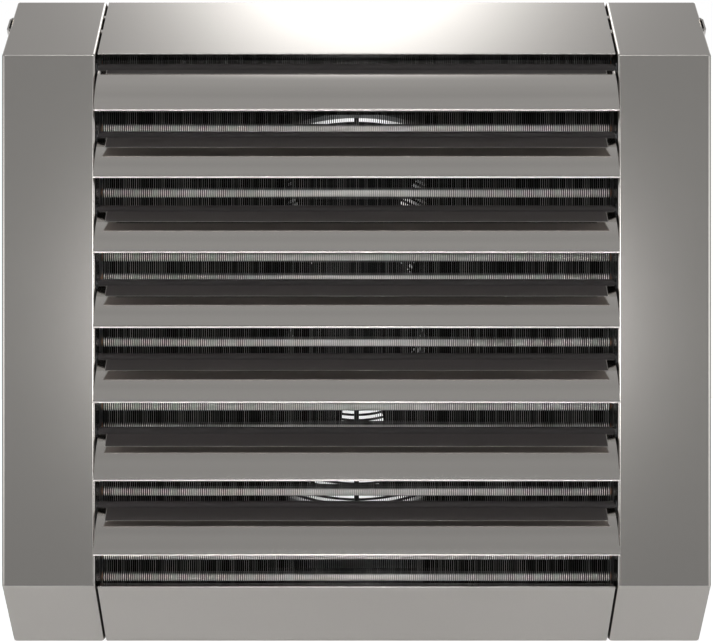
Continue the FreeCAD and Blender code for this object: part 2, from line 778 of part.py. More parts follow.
def louvre_blade(number):
    body = new_body(f"louvre_body_{number + 1}")
    drawing, centre_y = louvre_profile(body)
    outer, inner, top, bottom = range(4)
    arc_ends = {arc: sorted((1, 2), key=lambda end, arc=arc: -drawing.getPoint(arc, end).y)
                for arc in (outer, inner)}

    def join(*ends):
        drawing.addConstraint(Sketcher.Constraint("Coincident", *ends))

    join(top, 1, outer, arc_ends[outer][0])
    join(top, 2, inner, arc_ends[inner][0])
    join(bottom, 1, outer, arc_ends[outer][1])
    join(bottom, 2, inner, arc_ends[inner][1])
    join(outer, 3, inner, 3)
    pin_point(drawing, outer, 3, centre_y, f"-{LOUVRE_CHORD} / 2")
    for arc, radius in ((outer, "louvre_arc_radius + louvre_wall / 2"),
                        (inner, "louvre_arc_radius - louvre_wall / 2")):
        made = drawing.addConstraint(Sketcher.Constraint("Radius", arc, value(radius)))
        drawing.setExpression(f"Constraints[{made}]", formula(radius))
        for end, level in zip(arc_ends[arc], ("0", f"-{LOUVRE_CHORD}")):
            made = drawing.addConstraint(
                Sketcher.Constraint("DistanceY", -1, 1, arc, end, value(level)))
            drawing.setExpression(f"Constraints[{made}]", formula(level))
    pad(body, drawing, LOUVRE_LENGTH, both_ways=True)
    bead = circles(body, "YZ_Plane", [("0", "0", "louvre_bead_radius")])
    pad(body, bead, LOUVRE_LENGTH, both_ways=True)
    nose = circles(body, "YZ_Plane", [("0", f"-{LOUVRE_CHORD}", "louvre_nose_radius")])
    pad(body, nose, LOUVRE_LENGTH, both_ways=True)
    pocket_through(body, circles(body, "YZ_Plane", [("0", "0", "pin_radius + joint_gap")]))
    place(body, ("0", PIVOT_Y, louvre_height(number)))
    return tilt(body, f"-louvre_angle_{number + 1}")


def make_louvres():
    bushes = [louvre_bush(side, number) for number in LOUVRES for side in (-1, 1)]
    piece("louvre_bushes", group("bush_set", bushes))
    reach = f"{OUTLET} + sheet + bush_tail + bush_flange - {LOUVRE_LENGTH} / 2 + pin_depth"
    for number in LOUVRES:
        piece(f"louvre_blade_{number + 1}", louvre_blade(number))
        pins = []
        for side, axis in ((-1, "-X"), (1, "+X")):
            start = f"{side} * ({LOUVRE_LENGTH} / 2 - pin_depth)"
            pins.append(cylinder("pin", "pin_radius", reach,
                                 (start, PIVOT_Y, louvre_height(number)), axis))
        piece(f"louvre_pins_{number + 1}", group("pin_pair", pins))


# ---------------------------------------------------------------- coil

def tube_holes(body, radius):
    """A pair of holes at the lowest tubes, copied up the coil."""
    pair = [(row, TUBE_LOWEST, radius) for row in (ROW_FRONT, ROW_REAR)]
    hole = pocket_through(body, circles(body, "YZ_Plane", pair))
    return repeat_up(body, hole, TUBE_COUNT, "tube_pitch")


def fin_pack():
    body = new_body("fin_body")
    drawing = rectangle(body, "YZ_Plane", (FIN_FRONT, FIN_REAR),
                        (f"{OUTLET_MIDDLE} - {FIN_HALF}", f"{OUTLET_MIDDLE} + {FIN_HALF}"))
    pad(body, drawing, f"2 * ({OUTLET} - fin_end_gap)", both_ways=True)
    tube_holes(body, "tube_radius + tube_gap")
    return body


def end_plate():
    body = new_body("end_plate_body")
    lap = f"{FRONT} + outlet_flange - end_plate_lap"
    rear = f"{FIN_REAR} + end_plate_rear"
    drawing = polygon(body, "XY_Plane", [
        (WEB_IN, lap), (WEB_OUT, lap), (WEB_OUT, f"{rear} - sheet"),
        (f"{WEB_IN} + end_plate_flange", f"{rear} - sheet"),
        (f"{WEB_IN} + end_plate_flange", rear), (WEB_IN, rear)],
        f"{OUTLET_MIDDLE} - {FIN_HALF} - end_plate_margin")
    pad(body, drawing, f"2 * ({FIN_HALF} + end_plate_margin)")
    tube_holes(body, "tube_radius + tube_gap")
    return body


def frame_sheet(name, up, shut):
    """The sheet over or under the fins, with a flange at its front and one at its rear.
    up gives a level from a height away from the fins, and shut is where the rear flange ends."""
    body = new_body(name)
    front, rear = f"{FIN_FRONT} - sheet", f"{FIN_REAR} + end_plate_rear"
    drawing = polygon(body, "YZ_Plane", [
        (front, up("frame_gap")), (rear, up("frame_gap")), (rear, shut),
        (f"{rear} - sheet", shut), (f"{rear} - sheet", up("frame_gap + sheet")),
        (f"{front} + sheet", up("frame_gap + sheet")),
        (f"{front} + sheet", up("frame_front_flange")), (front, up("frame_front_flange"))])
    pad(body, drawing, f"2 * ({OUTLET} - seat_gap)", both_ways=True)
    return body


def hairpins():
    """U-shaped tubes: both ends at the right, the bend at the left."""
    body = new_body("hairpin_body")
    rounds = [(ROW_FRONT, TUBE_LOWEST, "tube_radius"),
              (ROW_FRONT, TUBE_LOWEST, "tube_radius - tube_wall")]
    profile = circles(body, "YZ_Plane", rounds, LEG_RIGHT)
    path = new_sketch(body, "XY_Plane", TUBE_LOWEST)
    right, left = value(LEG_RIGHT), -value(f"{WEB_OUT} + leg_left")
    front, rear = value(ROW_FRONT), value(ROW_REAR)
    middle = (front + rear) / 2
    path.addGeometry(Part.LineSegment(Vector(right, front, 0), Vector(left, front, 0)))
    path.addGeometry(Part.Arc(Vector(left, front, 0), Vector(left - (rear - front) / 2, middle, 0),
                              Vector(left, rear, 0)))
    path.addGeometry(Part.LineSegment(Vector(left, rear, 0), Vector(right, rear, 0)))
    bow = {round(path.getPoint(1, end).y, 6): end for end in (1, 2)}
    path.addConstraint(Sketcher.Constraint("Coincident", 0, 2, 1, bow[round(front, 6)]))
    path.addConstraint(Sketcher.Constraint("Coincident", 2, 1, 1, bow[round(rear, 6)]))
    pin_point(path, 0, 1, LEG_RIGHT, ROW_FRONT)
    pin_point(path, 0, 2, f"-({WEB_OUT} + leg_left)", ROW_FRONT)
    pin_point(path, 2, 1, f"-({WEB_OUT} + leg_left)", ROW_REAR)
    pin_point(path, 2, 2, LEG_RIGHT, ROW_REAR)
    made = path.addConstraint(Sketcher.Constraint("DistanceX", -1, 1, 1, 3, left))
    path.setExpression(f"Constraints[{made}]", formula(f"-({WEB_OUT} + leg_left)"))
    pipe = body.newObject("PartDesign::AdditivePipe", "pipe")
    pipe.Profile = profile
    pipe.Spine = (path, ["Edge1", "Edge2", "Edge3"])
    repeat_up(body, pipe, TUBE_COUNT, "tube_pitch")
    return body


def half_torus(name, radius, at):
    """Half a torus in the XZ plane, on the side of +X."""
    made = doc.addObject("Part::Torus", name)
    bind(made, Radius1="tube_pitch / 2", Radius2=radius)
    made.Angle3 = 180
    place(made, at)
    made.Placement.Rotation = Rotation(Vector(0, 0, -1), Vector(1, 0, 0), Vector(0, -1, 0), "XYZ")
    return made


def return_bends():
    """Bends between a circuit's rows, by turns in the front and in the rear row."""
    made = []
    for circuit in CIRCUITS:
        for step in range(SIZES["circuit_rows"] - 1):
            below = circuit * SIZES["circuit_rows"] + step
            row = ROW_REAR if step % 2 == 0 else ROW_FRONT
            at = (LEG_RIGHT, row, f"{TUBE_LOWEST} + ({below} + 0.5) * tube_pitch")
            made.append(cut("bend", half_torus("bend_outside", "tube_radius", at),
                            [half_torus("bend_inside", "tube_radius - tube_wall", at)]))
    return group("bend_set", made)


def header(name, x, row, first_row, stub_z, plug_axis):
    """A closed tube with a feeder into the given row of each circuit, and a plug at one end."""
    low = f"{OUTLET_MIDDLE} - {FIN_HALF} + header_overlap"
    length = f"2 * ({FIN_HALF} - header_overlap)"
    outside = [cylinder(f"{name}_outside", "header_radius", length, (x, row, low))]
    inside = [cylinder(f"{name}_inside", "header_radius - header_wall",
                       f"{length} - 2 * header_cap", (x, row, f"{low} + header_cap"))]
    for circuit in CIRCUITS:
        number = circuit * SIZES["circuit_rows"] + first_row
        at = (LEG_RIGHT, row, f"{TUBE_LOWEST} + {number} * tube_pitch")
        reach = f"{x} - {LEG_RIGHT} - header_radius / 2"
        outside.append(cylinder("feeder_outside", "tube_radius", reach, at, "+X"))
        inside.append(cylinder("feeder_inside", "tube_radius - tube_wall", reach, at, "+X"))
    holes = [cylinder("stub_seat", "stub_radius + joint_gap", "2 * header_radius",
                      (x, row, stub_z), "+Y")]
    seat = {"-Z": f"{low} + 2 * header_cap", "+Z": f"{low} + {length} - 2 * header_cap"}
    holes.append(cylinder("plug_seat", "plug_radius + joint_gap", "3 * header_cap",
                          (x, row, seat[plug_axis]), plug_axis))
    solid = cut(f"{name}_hollow", fuse(f"{name}_solid", outside), inside)
    return cut(name, solid, holes)


def water_stub(name, x, row, z):
    """A pipe from the header to behind the casing, with a threaded end."""
    start = f"({row} + header_radius - stub_overlap)"
    end = f"({REAR} + stub_reach)"
    pipe = cylinder(f"{name}_pipe", "stub_radius", f"{end} - {start}", (x, start, z), "+Y")
    thread = cylinder(f"{name}_thread", "thread_radius", "thread_length",
                      (x, f"{end} - thread_length", z), "+Y")
    bore = cylinder(f"{name}_bore", "stub_radius - stub_wall", f"{end} - {start}",
                    (x, start, z), "+Y")
    return cut(name, fuse(f"{name}_solid", [pipe, thread]), [bore])


def header_plug(x, row, level, axis):
    back = "+Z" if axis == "-Z" else "-Z"
    head = hexagon("plug_head", "plug_head_radius", "plug_head", (x, row, level), axis)
    stem = cylinder("plug_stem", "plug_radius", "plug_depth", (x, row, level), back)
    return fuse("plug", [head, stem])


def grommet(x, z):
    outer = cylinder("grommet_outer", "grommet_radius", "grommet_flange", (x, REAR_FACE, z), "+Y")
    neck = cylinder("grommet_middle", "grommet_neck", "sheet", (x, REAR, z), "+Y")
    inner = cylinder("grommet_inner", "grommet_inner_radius", "grommet_flange", (x, REAR, z), "-Y")
    bore = cylinder("grommet_bore", "stub_radius + joint_gap", "4 * grommet_flange + sheet",
                    (x, f"{REAR} - 2 * grommet_flange", z), "+Y")
    return cut("grommet", fuse("grommet_solid", [outer, neck, inner]), [bore])


def make_coil():
    piece("coil_fin_pack", fin_pack())
    right = piece("coil_end_plate_right", end_plate())
    piece("coil_end_plate_left", mirror("end_plate_left", right))
    piece("coil_frame_top", frame_sheet(
        "frame_top", lambda away: f"{OUTLET_MIDDLE} + {FIN_HALF} + ({away})",
        "-(sheet + frame_gap)"))
    piece("coil_frame_bottom", frame_sheet(
        "frame_bottom", lambda away: f"{OUTLET_MIDDLE} - {FIN_HALF} - ({away})",
        f"{BOTTOM} + sheet + frame_gap"))
    piece("coil_hairpin_tubes", hairpins())
    piece("coil_return_bends", return_bends())
    stubs = stub_places()
    x, row, z = stubs["supply"]
    piece("supply_header", header("supply", x, row, 0, z, "-Z"))
    piece("supply_connection", water_stub("supply_stub", x, row, z))
    x, row, z = stubs["return"]
    piece("return_header", header("return", x, row, SIZES["circuit_rows"] - 1, z, "+Z"))
    piece("return_connection", water_stub("return_stub", x, row, z))
    end = f"({FIN_HALF} - header_overlap)"
    drain = header_plug(stubs["supply"][0], stubs["supply"][1], f"{OUTLET_MIDDLE} - {end}", "-Z")
    vent = header_plug(stubs["return"][0], stubs["return"][1], f"{OUTLET_MIDDLE} + {end}", "+Z")
    piece("header_plugs", group("plug_pair", [drain, vent]))
    piece("pipe_grommets", group("grommet_pair", [grommet(x, z) for x, _, z in stubs.values()]))


# ---------------------------------------------------------------- guard and motor

def guard_ring(radius, y):
    """A ring of eight-sided wire round the fan's axis."""
    section = doc.addObject("Part::RegularPolygon", "ring_section")
    section.Polygon = 8
    bind(section, Circumradius="guard_wire_radius")
    place(section, (radius, y, FAN_Z))
    ring = doc.addObject("Part::Revolution", "guard_ring")
    ring.Source = section
    ring.Axis = Vector(0, 1, 0)
    ring.Angle = 360
    ring.Solid = True
    return bind(ring, **{"Base.z": FAN_Z})


def guard_rings():
    """Flat rings behind the rods, then rings down the rods' sloped ends."""
    flat = f"{GUARD_Y} + {RING_OFF_ROD}"
    first = "(motor_plate_radius + guard_first_gap)"
    span = value(f"ring_bore - guard_last_gap - {first}")
    rings = [guard_ring(f"{first} + {number} * guard_pitch", flat)
             for number in range(int(span / SIZES["guard_pitch"]) + 1)]
    for number in range(SIZES["guard_skirt_rings"]):
        share = f"({number} + 0.5) / guard_skirt_rings * {SKIRT_SHARE}"
        rings.append(guard_ring(
            f"{ROD_BEND} + {share} * {SKIRT_RUN} + {RING_OFF_ROD} * {SKIRT_FALL} / {SKIRT}",
            f"{GUARD_Y} - {share} * {SKIRT_FALL} + {RING_OFF_ROD} * {SKIRT_RUN} / {SKIRT}"))
    return group("guard_ring_set", rings)


def guard_rod(angle):
    """A radial rod that bends forward to its foot at the ring's flange."""
    body = new_body("rod_body")
    start = "(motor_plate_radius - guard_rod_lap)"
    section = circles(body, "YZ_Plane", [(GUARD_Y, "0", "guard_rod_radius")], start)
    path = new_sketch(body, "XY_Plane")
    stations = [(start, GUARD_Y), (ROD_BEND, GUARD_Y), (ROD_END_RADIUS, ROD_END_Y)]
    points = [Vector(value(x), value(y), 0) for x, y in stations]
    for near, far in zip(points, points[1:]):
        path.addGeometry(Part.LineSegment(near, far))
    path.addConstraint(Sketcher.Constraint("Coincident", 0, 2, 1, 1))
    for geometry, end, station in ((0, 1, 0), (0, 2, 1), (1, 2, 2)):
        pin_point(path, geometry, end, *stations[station])
    pipe = body.newObject("PartDesign::AdditivePipe", "pipe")
    pipe.Profile = section
    pipe.Spine = (path, ["Edge1", "Edge2"])
    pipe.Transition = "Round corner"
    place(body, ("0", "0", FAN_Z))
    body.Placement.Rotation = Rotation(Vector(0, 1, 0), -angle)
    return body


def guard_frame():
    """The plate that carries the motor, on rods with feet."""
    parts = [guard_rod(angle) for angle in guard_places()]
    for angle in guard_places():
        at = round_fan(FOOT_RADIUS, angle, f"{REAR_FACE} + sheet")
        parts.append(cylinder("foot", "guard_foot_size", "guard_foot_wall", at, "+Y"))
    parts.append(cylinder("motor_plate", "motor_plate_radius", "motor_plate_wall",
                          ("0", PLATE_FRONT, FAN_Z), "+Y"))
    feet = [round_fan(FOOT_RADIUS, angle, f"{REAR_FACE} + sheet + 2 * guard_foot_wall")
            for angle in guard_places()]
    holes = screw_holes(feet, "4 * guard_foot_wall", "-Y")
    holes += screw_holes(motor_screw_places(f"{PLATE_FRONT} + 2 * motor_plate_wall"),
                         "4 * motor_plate_wall", "-Y")
    return cut("guard_frame", fuse("guard_frame_solid", parts), holes)


def motor_screw_places(y):
    """Places halfway between rods of the guard."""
    circle = "motor_plate_radius - flange_inset - motor_screw_inset"
    first, step = 180 / SIZES["guard_rod_count"], 360 / SIZES["motor_screw_count"]
    return [round_fan(circle, first + number * step, y)
            for number in range(SIZES["motor_screw_count"])]


def fan_ring(name, outer, inner, front, length):
    return tube(name, outer, inner, length, ("0", front, FAN_Z), "+Y")


def motor_flange():
    """The die-cast carrier: a hub inside the stator and a disc on the guard's plate."""
    length = f"{PLATE_FRONT} - {HUB_FRONT}"
    hub = cylinder("flange_hub", "stator_bore - hole_gap", length, ("0", HUB_FRONT, FAN_Z), "+Y")
    disc = cylinder("flange_disc", "motor_plate_radius - flange_inset", "flange_wall",
                    ("0", f"{PLATE_FRONT} - flange_wall", FAN_Z), "+Y")
    bore = cylinder("flange_bore", "bearing_radius", length, ("0", HUB_FRONT, FAN_Z), "+Y")
    holes = screw_holes(motor_screw_places(PLATE_FRONT), "flange_wall", "-Y")
    return cut("flange", fuse("flange_solid", [hub, disc]), [bore] + holes)


def make_motor():
    piece("fan_guard_frame", guard_frame())
    piece("fan_guard_rings", guard_rings())
    feet = [round_fan(FOOT_RADIUS, angle, f"{REAR_FACE} + sheet + guard_foot_wall")
            for angle in guard_places()]
    piece("guard_screws", screws("guard_screw_set", feet, "-Y"))
    plate_back = f"{PLATE_FRONT} + motor_plate_wall"
    piece("motor_screws", screws("motor_screw_set", motor_screw_places(plate_back), "-Y"))
    piece("motor_flange", motor_flange())
    piece("stator_core", fan_ring("core", STATOR_RADIUS, "stator_bore", CORE_FRONT,
                                  "cage_length"))
    windings = [fan_ring("winding", f"{STATOR_RADIUS} - winding_inset",
                         "stator_bore + winding_rim", front, "winding_length")
                for front in (f"{CORE_FRONT} - winding_length", f"{CORE_FRONT} + cage_length")]
    piece("stator_winding", group("winding_pair", windings))
    bearings = [fan_ring("bearing", "bearing_radius - joint_gap", "shaft_radius", front,
                         "bearing_width")
                for front in (HUB_FRONT, f"{PLATE_FRONT} - bearing_width")]
    piece("motor_bearings", group("bearing_pair", bearings))
    piece("motor_shaft", cylinder("shaft", "shaft_radius - bearing_gap",
                                  f"{PLATE_FRONT} - shaft_end_gap - {ROTOR_FRONT}",
                                  ("0", ROTOR_FRONT, FAN_Z), "+Y"))
    piece("rotor_can", rotor_can())
    piece("rotor_cage", fan_ring("cage", f"{ROTOR_INSIDE} - joint_gap",
                                 f"{ROTOR_INSIDE} - cage_wall", CORE_FRONT, "cage_length"))


def rotor_can():
    """A cup, closed towards the coil, with its front edge rounded."""
    body = new_body("can_body")
    drawing = polygon(body, "XY_Plane", [
        ("shaft_radius", ROTOR_FRONT), ("rotor_radius", ROTOR_FRONT),
        ("rotor_radius", ROTOR_BACK), (ROTOR_INSIDE, ROTOR_BACK),
        (ROTOR_INSIDE, f"{ROTOR_FRONT} + rotor_wall"),
        ("shaft_radius", f"{ROTOR_FRONT} + rotor_wall")])
    turn = body.newObject("PartDesign::Revolution", "revolution")
    turn.Profile = drawing
    turn.ReferenceAxis = (drawing, ["V_Axis"])
    turn.Angle = 360
    doc.recompute()
    front, radius = value(ROTOR_FRONT), value("rotor_radius")
    round_edges(body, "rotor_edge", lambda edge: abs(edge.CenterOfMass.y - front) < CLOSE
                and abs(edge.BoundBox.XMax - radius) < CLOSE)
    return place(body, ("0", "0", FAN_Z))


# ---------------------------------------------------------------- impeller

def blade_edge(inner, outer, angle, skew):
    """The curved edge of a blade seen along the axis, from the hub to the tip."""
    def point(radius, turn):
        return Vector(radius * cos(radians(turn)), radius * sin(radians(turn)), 0)
    middle = (inner + outer) / 2
    return point(inner, angle), point(middle, angle - skew), point(outer, angle)


def blade_shape():
    """A helical sheet cut to the blade's outline. The axis is Z here."""
    inner = value("rotor_radius + weld_gap")
    outer, width, wall = value("ring_bore - blade_tip_gap"), value(BLADE_WIDTH), value("blade_wall")
    sweep, skew = value("blade_sweep_angle"), value("blade_skew_angle")
    turn = sweep + 2 * skew
    height = width * turn / sweep
    helix = Part.makeHelix(height * 360 / turn, height, (inner + outer) / 2)
    near, far = inner - value("blade_trim"), outer + value("blade_trim")
    section = Part.makePolygon([Vector(x, 0, z) for x, z in (
        (near, -wall / 2), (far, -wall / 2), (far, wall / 2), (near, wall / 2),
        (near, -wall / 2))])
    screw = Part.Wire(helix).makePipeShell([section], True, True)
    screw.rotate(Vector(), Vector(0, 0, 1), -skew)
    first = blade_edge(inner, outer, 0, skew)
    last = blade_edge(inner, outer, sweep, skew)
    half_tip = Vector(outer * cos(radians(sweep / 2)), outer * sin(radians(sweep / 2)), 0)
    half_root = Vector(inner * cos(radians(sweep / 2)), inner * sin(radians(sweep / 2)), 0)
    outline = Part.Wire([
        Part.Arc(*first).toShape(), Part.Arc(first[2], half_tip, last[2]).toShape(),
        Part.Arc(*reversed(last)).toShape(), Part.Arc(last[0], half_root, first[0]).toShape()])
    face = Part.Face(outline)
    face.translate(Vector(0, 0, -height))
    return screw.common(face.extrude(Vector(0, 0, 3 * height)))


def make_impeller():
    shape = blade_shape()
    for number in range(SIZES["blade_count"]):
        blade = doc.addObject("Part::Feature", "blade")
        blade.Shape = shape
        angle = value("blade_first_angle") + number * 360 / SIZES["blade_count"]
        spin = Rotation(Vector(0, 1, 0), -angle)
        blade.Placement = Placement(Vector(), spin.multiply(AXES["+Y"]))
        lead = f"blade_skew_angle * {BLADE_WIDTH} / blade_sweep_angle"
        start = f"{ROTOR_FRONT} + blade_front_inset - {lead}"
        for name, text in zip("xyz", ("0", start, FAN_Z)):
            blade.setExpression(f"Placement.Base.{name}", formula(text))
        piece(f"fan_blade_{number + 1}", blade)


# ---------------------------------------------------------------- terminal box

def terminal_walls(inset):
    half_width, half_height = "terminal_width / 2", "terminal_height / 2"
    return ((f"{TERMINAL_X} - {half_width} + ({inset})", f"{TERMINAL_X} + {half_width} - ({inset})"),
            (f"-terminal_drop - {half_height} + ({inset})",
             f"-terminal_drop + {half_height} - ({inset})"))


def terminal_block(name, inset, near, far, radius):
    """A block with rounded upright corners between two planes across Y."""
    body = new_body(name)
    pad(body, rectangle(body, "XZ_Plane", *terminal_walls(inset), f"-({far})"),
        f"({far}) - ({near})")
    round_edges(body, radius, lambda edge: runs_along(edge, Vector(0, 1, 0)))
    return body


def lid_screw_places(y):
    (left, right), (low, high) = terminal_walls("terminal_screw_inset")
    return [(x, y, z) for x in (left, right) for z in (low, high)]


def make_terminal_box():
    lid_plane = f"({REAR_FACE} + terminal_depth)"
    shell = terminal_block("box_outside", "0", REAR_FACE, lid_plane, "terminal_corner")
    hollow = terminal_block("box_inside", "terminal_wall", f"{REAR_FACE} + terminal_wall",
                            f"{lid_plane} + terminal_wall", "terminal_corner - terminal_wall")
    floor = f"{REAR_FACE} + terminal_wall / 2"
    bosses = [cylinder("boss", "boss_radius", f"{lid_plane} - ({floor})", (x, floor, z), "+Y")
              for x, _, z in lid_screw_places(floor)]
    gland_y = f"({REAR_FACE} + terminal_depth / 2)"
    bottom = "(-terminal_drop - terminal_height / 2)"
    holes = screw_holes(lid_screw_places(lid_plane), "screw_length * 2", "-Y")
    holes.append(cylinder("gland_hole", "gland_thread_radius + joint_gap", "4 * terminal_wall",
                          (TERMINAL_X, gland_y, f"{bottom} - terminal_wall")))
    walls = fuse("box_walls", [cut("box_shell", shell, [hollow])] + bosses)
    piece("terminal_box_base", cut("box_base", walls, holes))
    lid = terminal_block("lid_solid", "0", lid_plane, f"{lid_plane} + terminal_lid",
                         "terminal_corner")
    sunk = terminal_block("lid_hollow", "terminal_wall + terminal_screw_inset",
                          f"{lid_plane} - terminal_wall", f"{lid_plane} + terminal_lid_rim",
                          "terminal_wall")
    head_plane = f"{lid_plane} + terminal_lid"
    piece("terminal_box_lid", cut("lid", lid, [sunk] + screw_holes(
        lid_screw_places(head_plane), "2 * terminal_lid", "-Y")))
    piece("terminal_box_screws", screws("lid_screw_set", lid_screw_places(head_plane), "-Y",
                                        "terminal_lid + screw_length"))
    hexes = hexagon("gland_hexagon", "gland_hex", "gland_hex_length",
                    (TERMINAL_X, gland_y, bottom), "-Z")
    thread = cylinder("gland_thread", "gland_thread_radius", "terminal_wall + gland_inside",
                      (TERMINAL_X, gland_y, bottom))
    bore = cylinder("gland_through", "gland_bore",
                    "terminal_wall + gland_inside + 3 * gland_hex_length",
                    (TERMINAL_X, gland_y, f"{bottom} - 2 * gland_hex_length"))
    piece("cable_gland_body", cut("gland", fuse("gland_solid", [hexes, thread]), [bore]))
    nut = doc.addObject("Part::Cone", "gland_nut_cone")
    bind(nut, Radius1="gland_nut_radius", Radius2="gland_nut_taper", Height="gland_nut_length")
    under = f"{bottom} - gland_hex_length"
    place(nut, (TERMINAL_X, gland_y, under), "-Z")
    nut_bore = cylinder("gland_nut_bore", "gland_bore", "gland_nut_length",
                        (TERMINAL_X, gland_y, under), "-Z")
    piece("cable_gland_nut", cut("gland_nut", nut, [nut_bore]))


# ---------------------------------------------------------------- build, test and write

def failed():
    """Names of the objects that didn't come out, and of the pieces with no sound solid."""
    bad = [thing.Label for thing in doc.Objects
           if "Invalid" in thing.State or "Error" in thing.State]
    for thing in pieces:
        shape = thing.Shape
        if shape.isNull() or not shape.isValid() or not shape.Solids:
            bad.append(thing.Label)
    return bad


def write_pieces():
    os.makedirs("parts", exist_ok=True)
    for thing in pieces:
        thing.Shape.exportStep(f"parts/{thing.Label}.step")
        extent = thing.Shape.BoundBox
        print(f"{thing.Label:24s} solids {len(thing.Shape.Solids):3d}  "
              f"x {extent.XMin:8.2f} {extent.XMax:8.2f}  y {extent.YMin:8.2f} {extent.YMax:8.2f}  "
              f"z {extent.ZMin:8.2f} {extent.ZMax:8.2f}")


fill_sheet()
make_casing()
make_louvres()
make_coil()
make_motor()
make_impeller()
make_terminal_box()
doc.recompute()
problems = failed()
if problems:
    raise SystemExit(f"not sound: {', '.join(problems)}")
write_pieces()
print(f"{len(pieces)} pieces")
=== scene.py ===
from math import cos, hypot, pi, radians, sin, tau

import bmesh
import bpy
from mathutils import Matrix, Vector

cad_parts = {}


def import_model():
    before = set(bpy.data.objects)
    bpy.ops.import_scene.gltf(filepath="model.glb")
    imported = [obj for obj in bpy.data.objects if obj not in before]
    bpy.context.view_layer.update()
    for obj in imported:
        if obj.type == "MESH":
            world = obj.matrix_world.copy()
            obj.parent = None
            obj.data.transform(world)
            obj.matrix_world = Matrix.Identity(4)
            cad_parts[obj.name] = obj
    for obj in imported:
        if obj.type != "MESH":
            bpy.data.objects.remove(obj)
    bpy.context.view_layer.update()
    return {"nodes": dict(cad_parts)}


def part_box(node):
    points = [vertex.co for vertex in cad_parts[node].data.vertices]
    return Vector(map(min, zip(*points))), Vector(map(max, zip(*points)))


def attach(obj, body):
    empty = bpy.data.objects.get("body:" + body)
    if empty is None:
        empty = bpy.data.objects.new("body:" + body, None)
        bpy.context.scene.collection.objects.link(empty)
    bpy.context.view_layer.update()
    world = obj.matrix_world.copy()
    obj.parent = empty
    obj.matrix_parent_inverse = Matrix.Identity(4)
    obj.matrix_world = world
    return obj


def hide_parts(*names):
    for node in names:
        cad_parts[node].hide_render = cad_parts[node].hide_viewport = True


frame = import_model()
NODES = frame["nodes"]
MM = 0.001


# ---------------------------------------------------------------- nodes

def feed(tree, socket, source):
    """Links a socket, or sets a constant on it."""
    if isinstance(source, bpy.types.NodeSocket):
        tree.links.new(source, socket)
    else:
        socket.default_value = source


def compute(tree, operation, *sources):
    """A Math node on sockets or numbers."""
    made = tree.nodes.new("ShaderNodeMath")
    made.operation = operation
    for socket, source in zip(made.inputs, sources):
        feed(tree, socket, source)
    return made.outputs[0]


def separate(tree, vector):
    """The coordinates of a vector, by X, Y and Z."""
    made = tree.nodes.new("ShaderNodeSeparateXYZ")
    tree.links.new(vector, made.inputs["Vector"])
    return made.outputs


def map_range(tree, source, low, high, start, end, interpolation="LINEAR"):
    """Maps a value from start..end to low..high."""
    made = tree.nodes.new("ShaderNodeMapRange")
    made.interpolation_type = interpolation
    made.inputs["From Min"].default_value = start
    made.inputs["From Max"].default_value = end
    made.inputs["To Min"].default_value = low
    made.inputs["To Max"].default_value = high
    tree.links.new(source, made.inputs["Value"])
    return made.outputs["Result"]


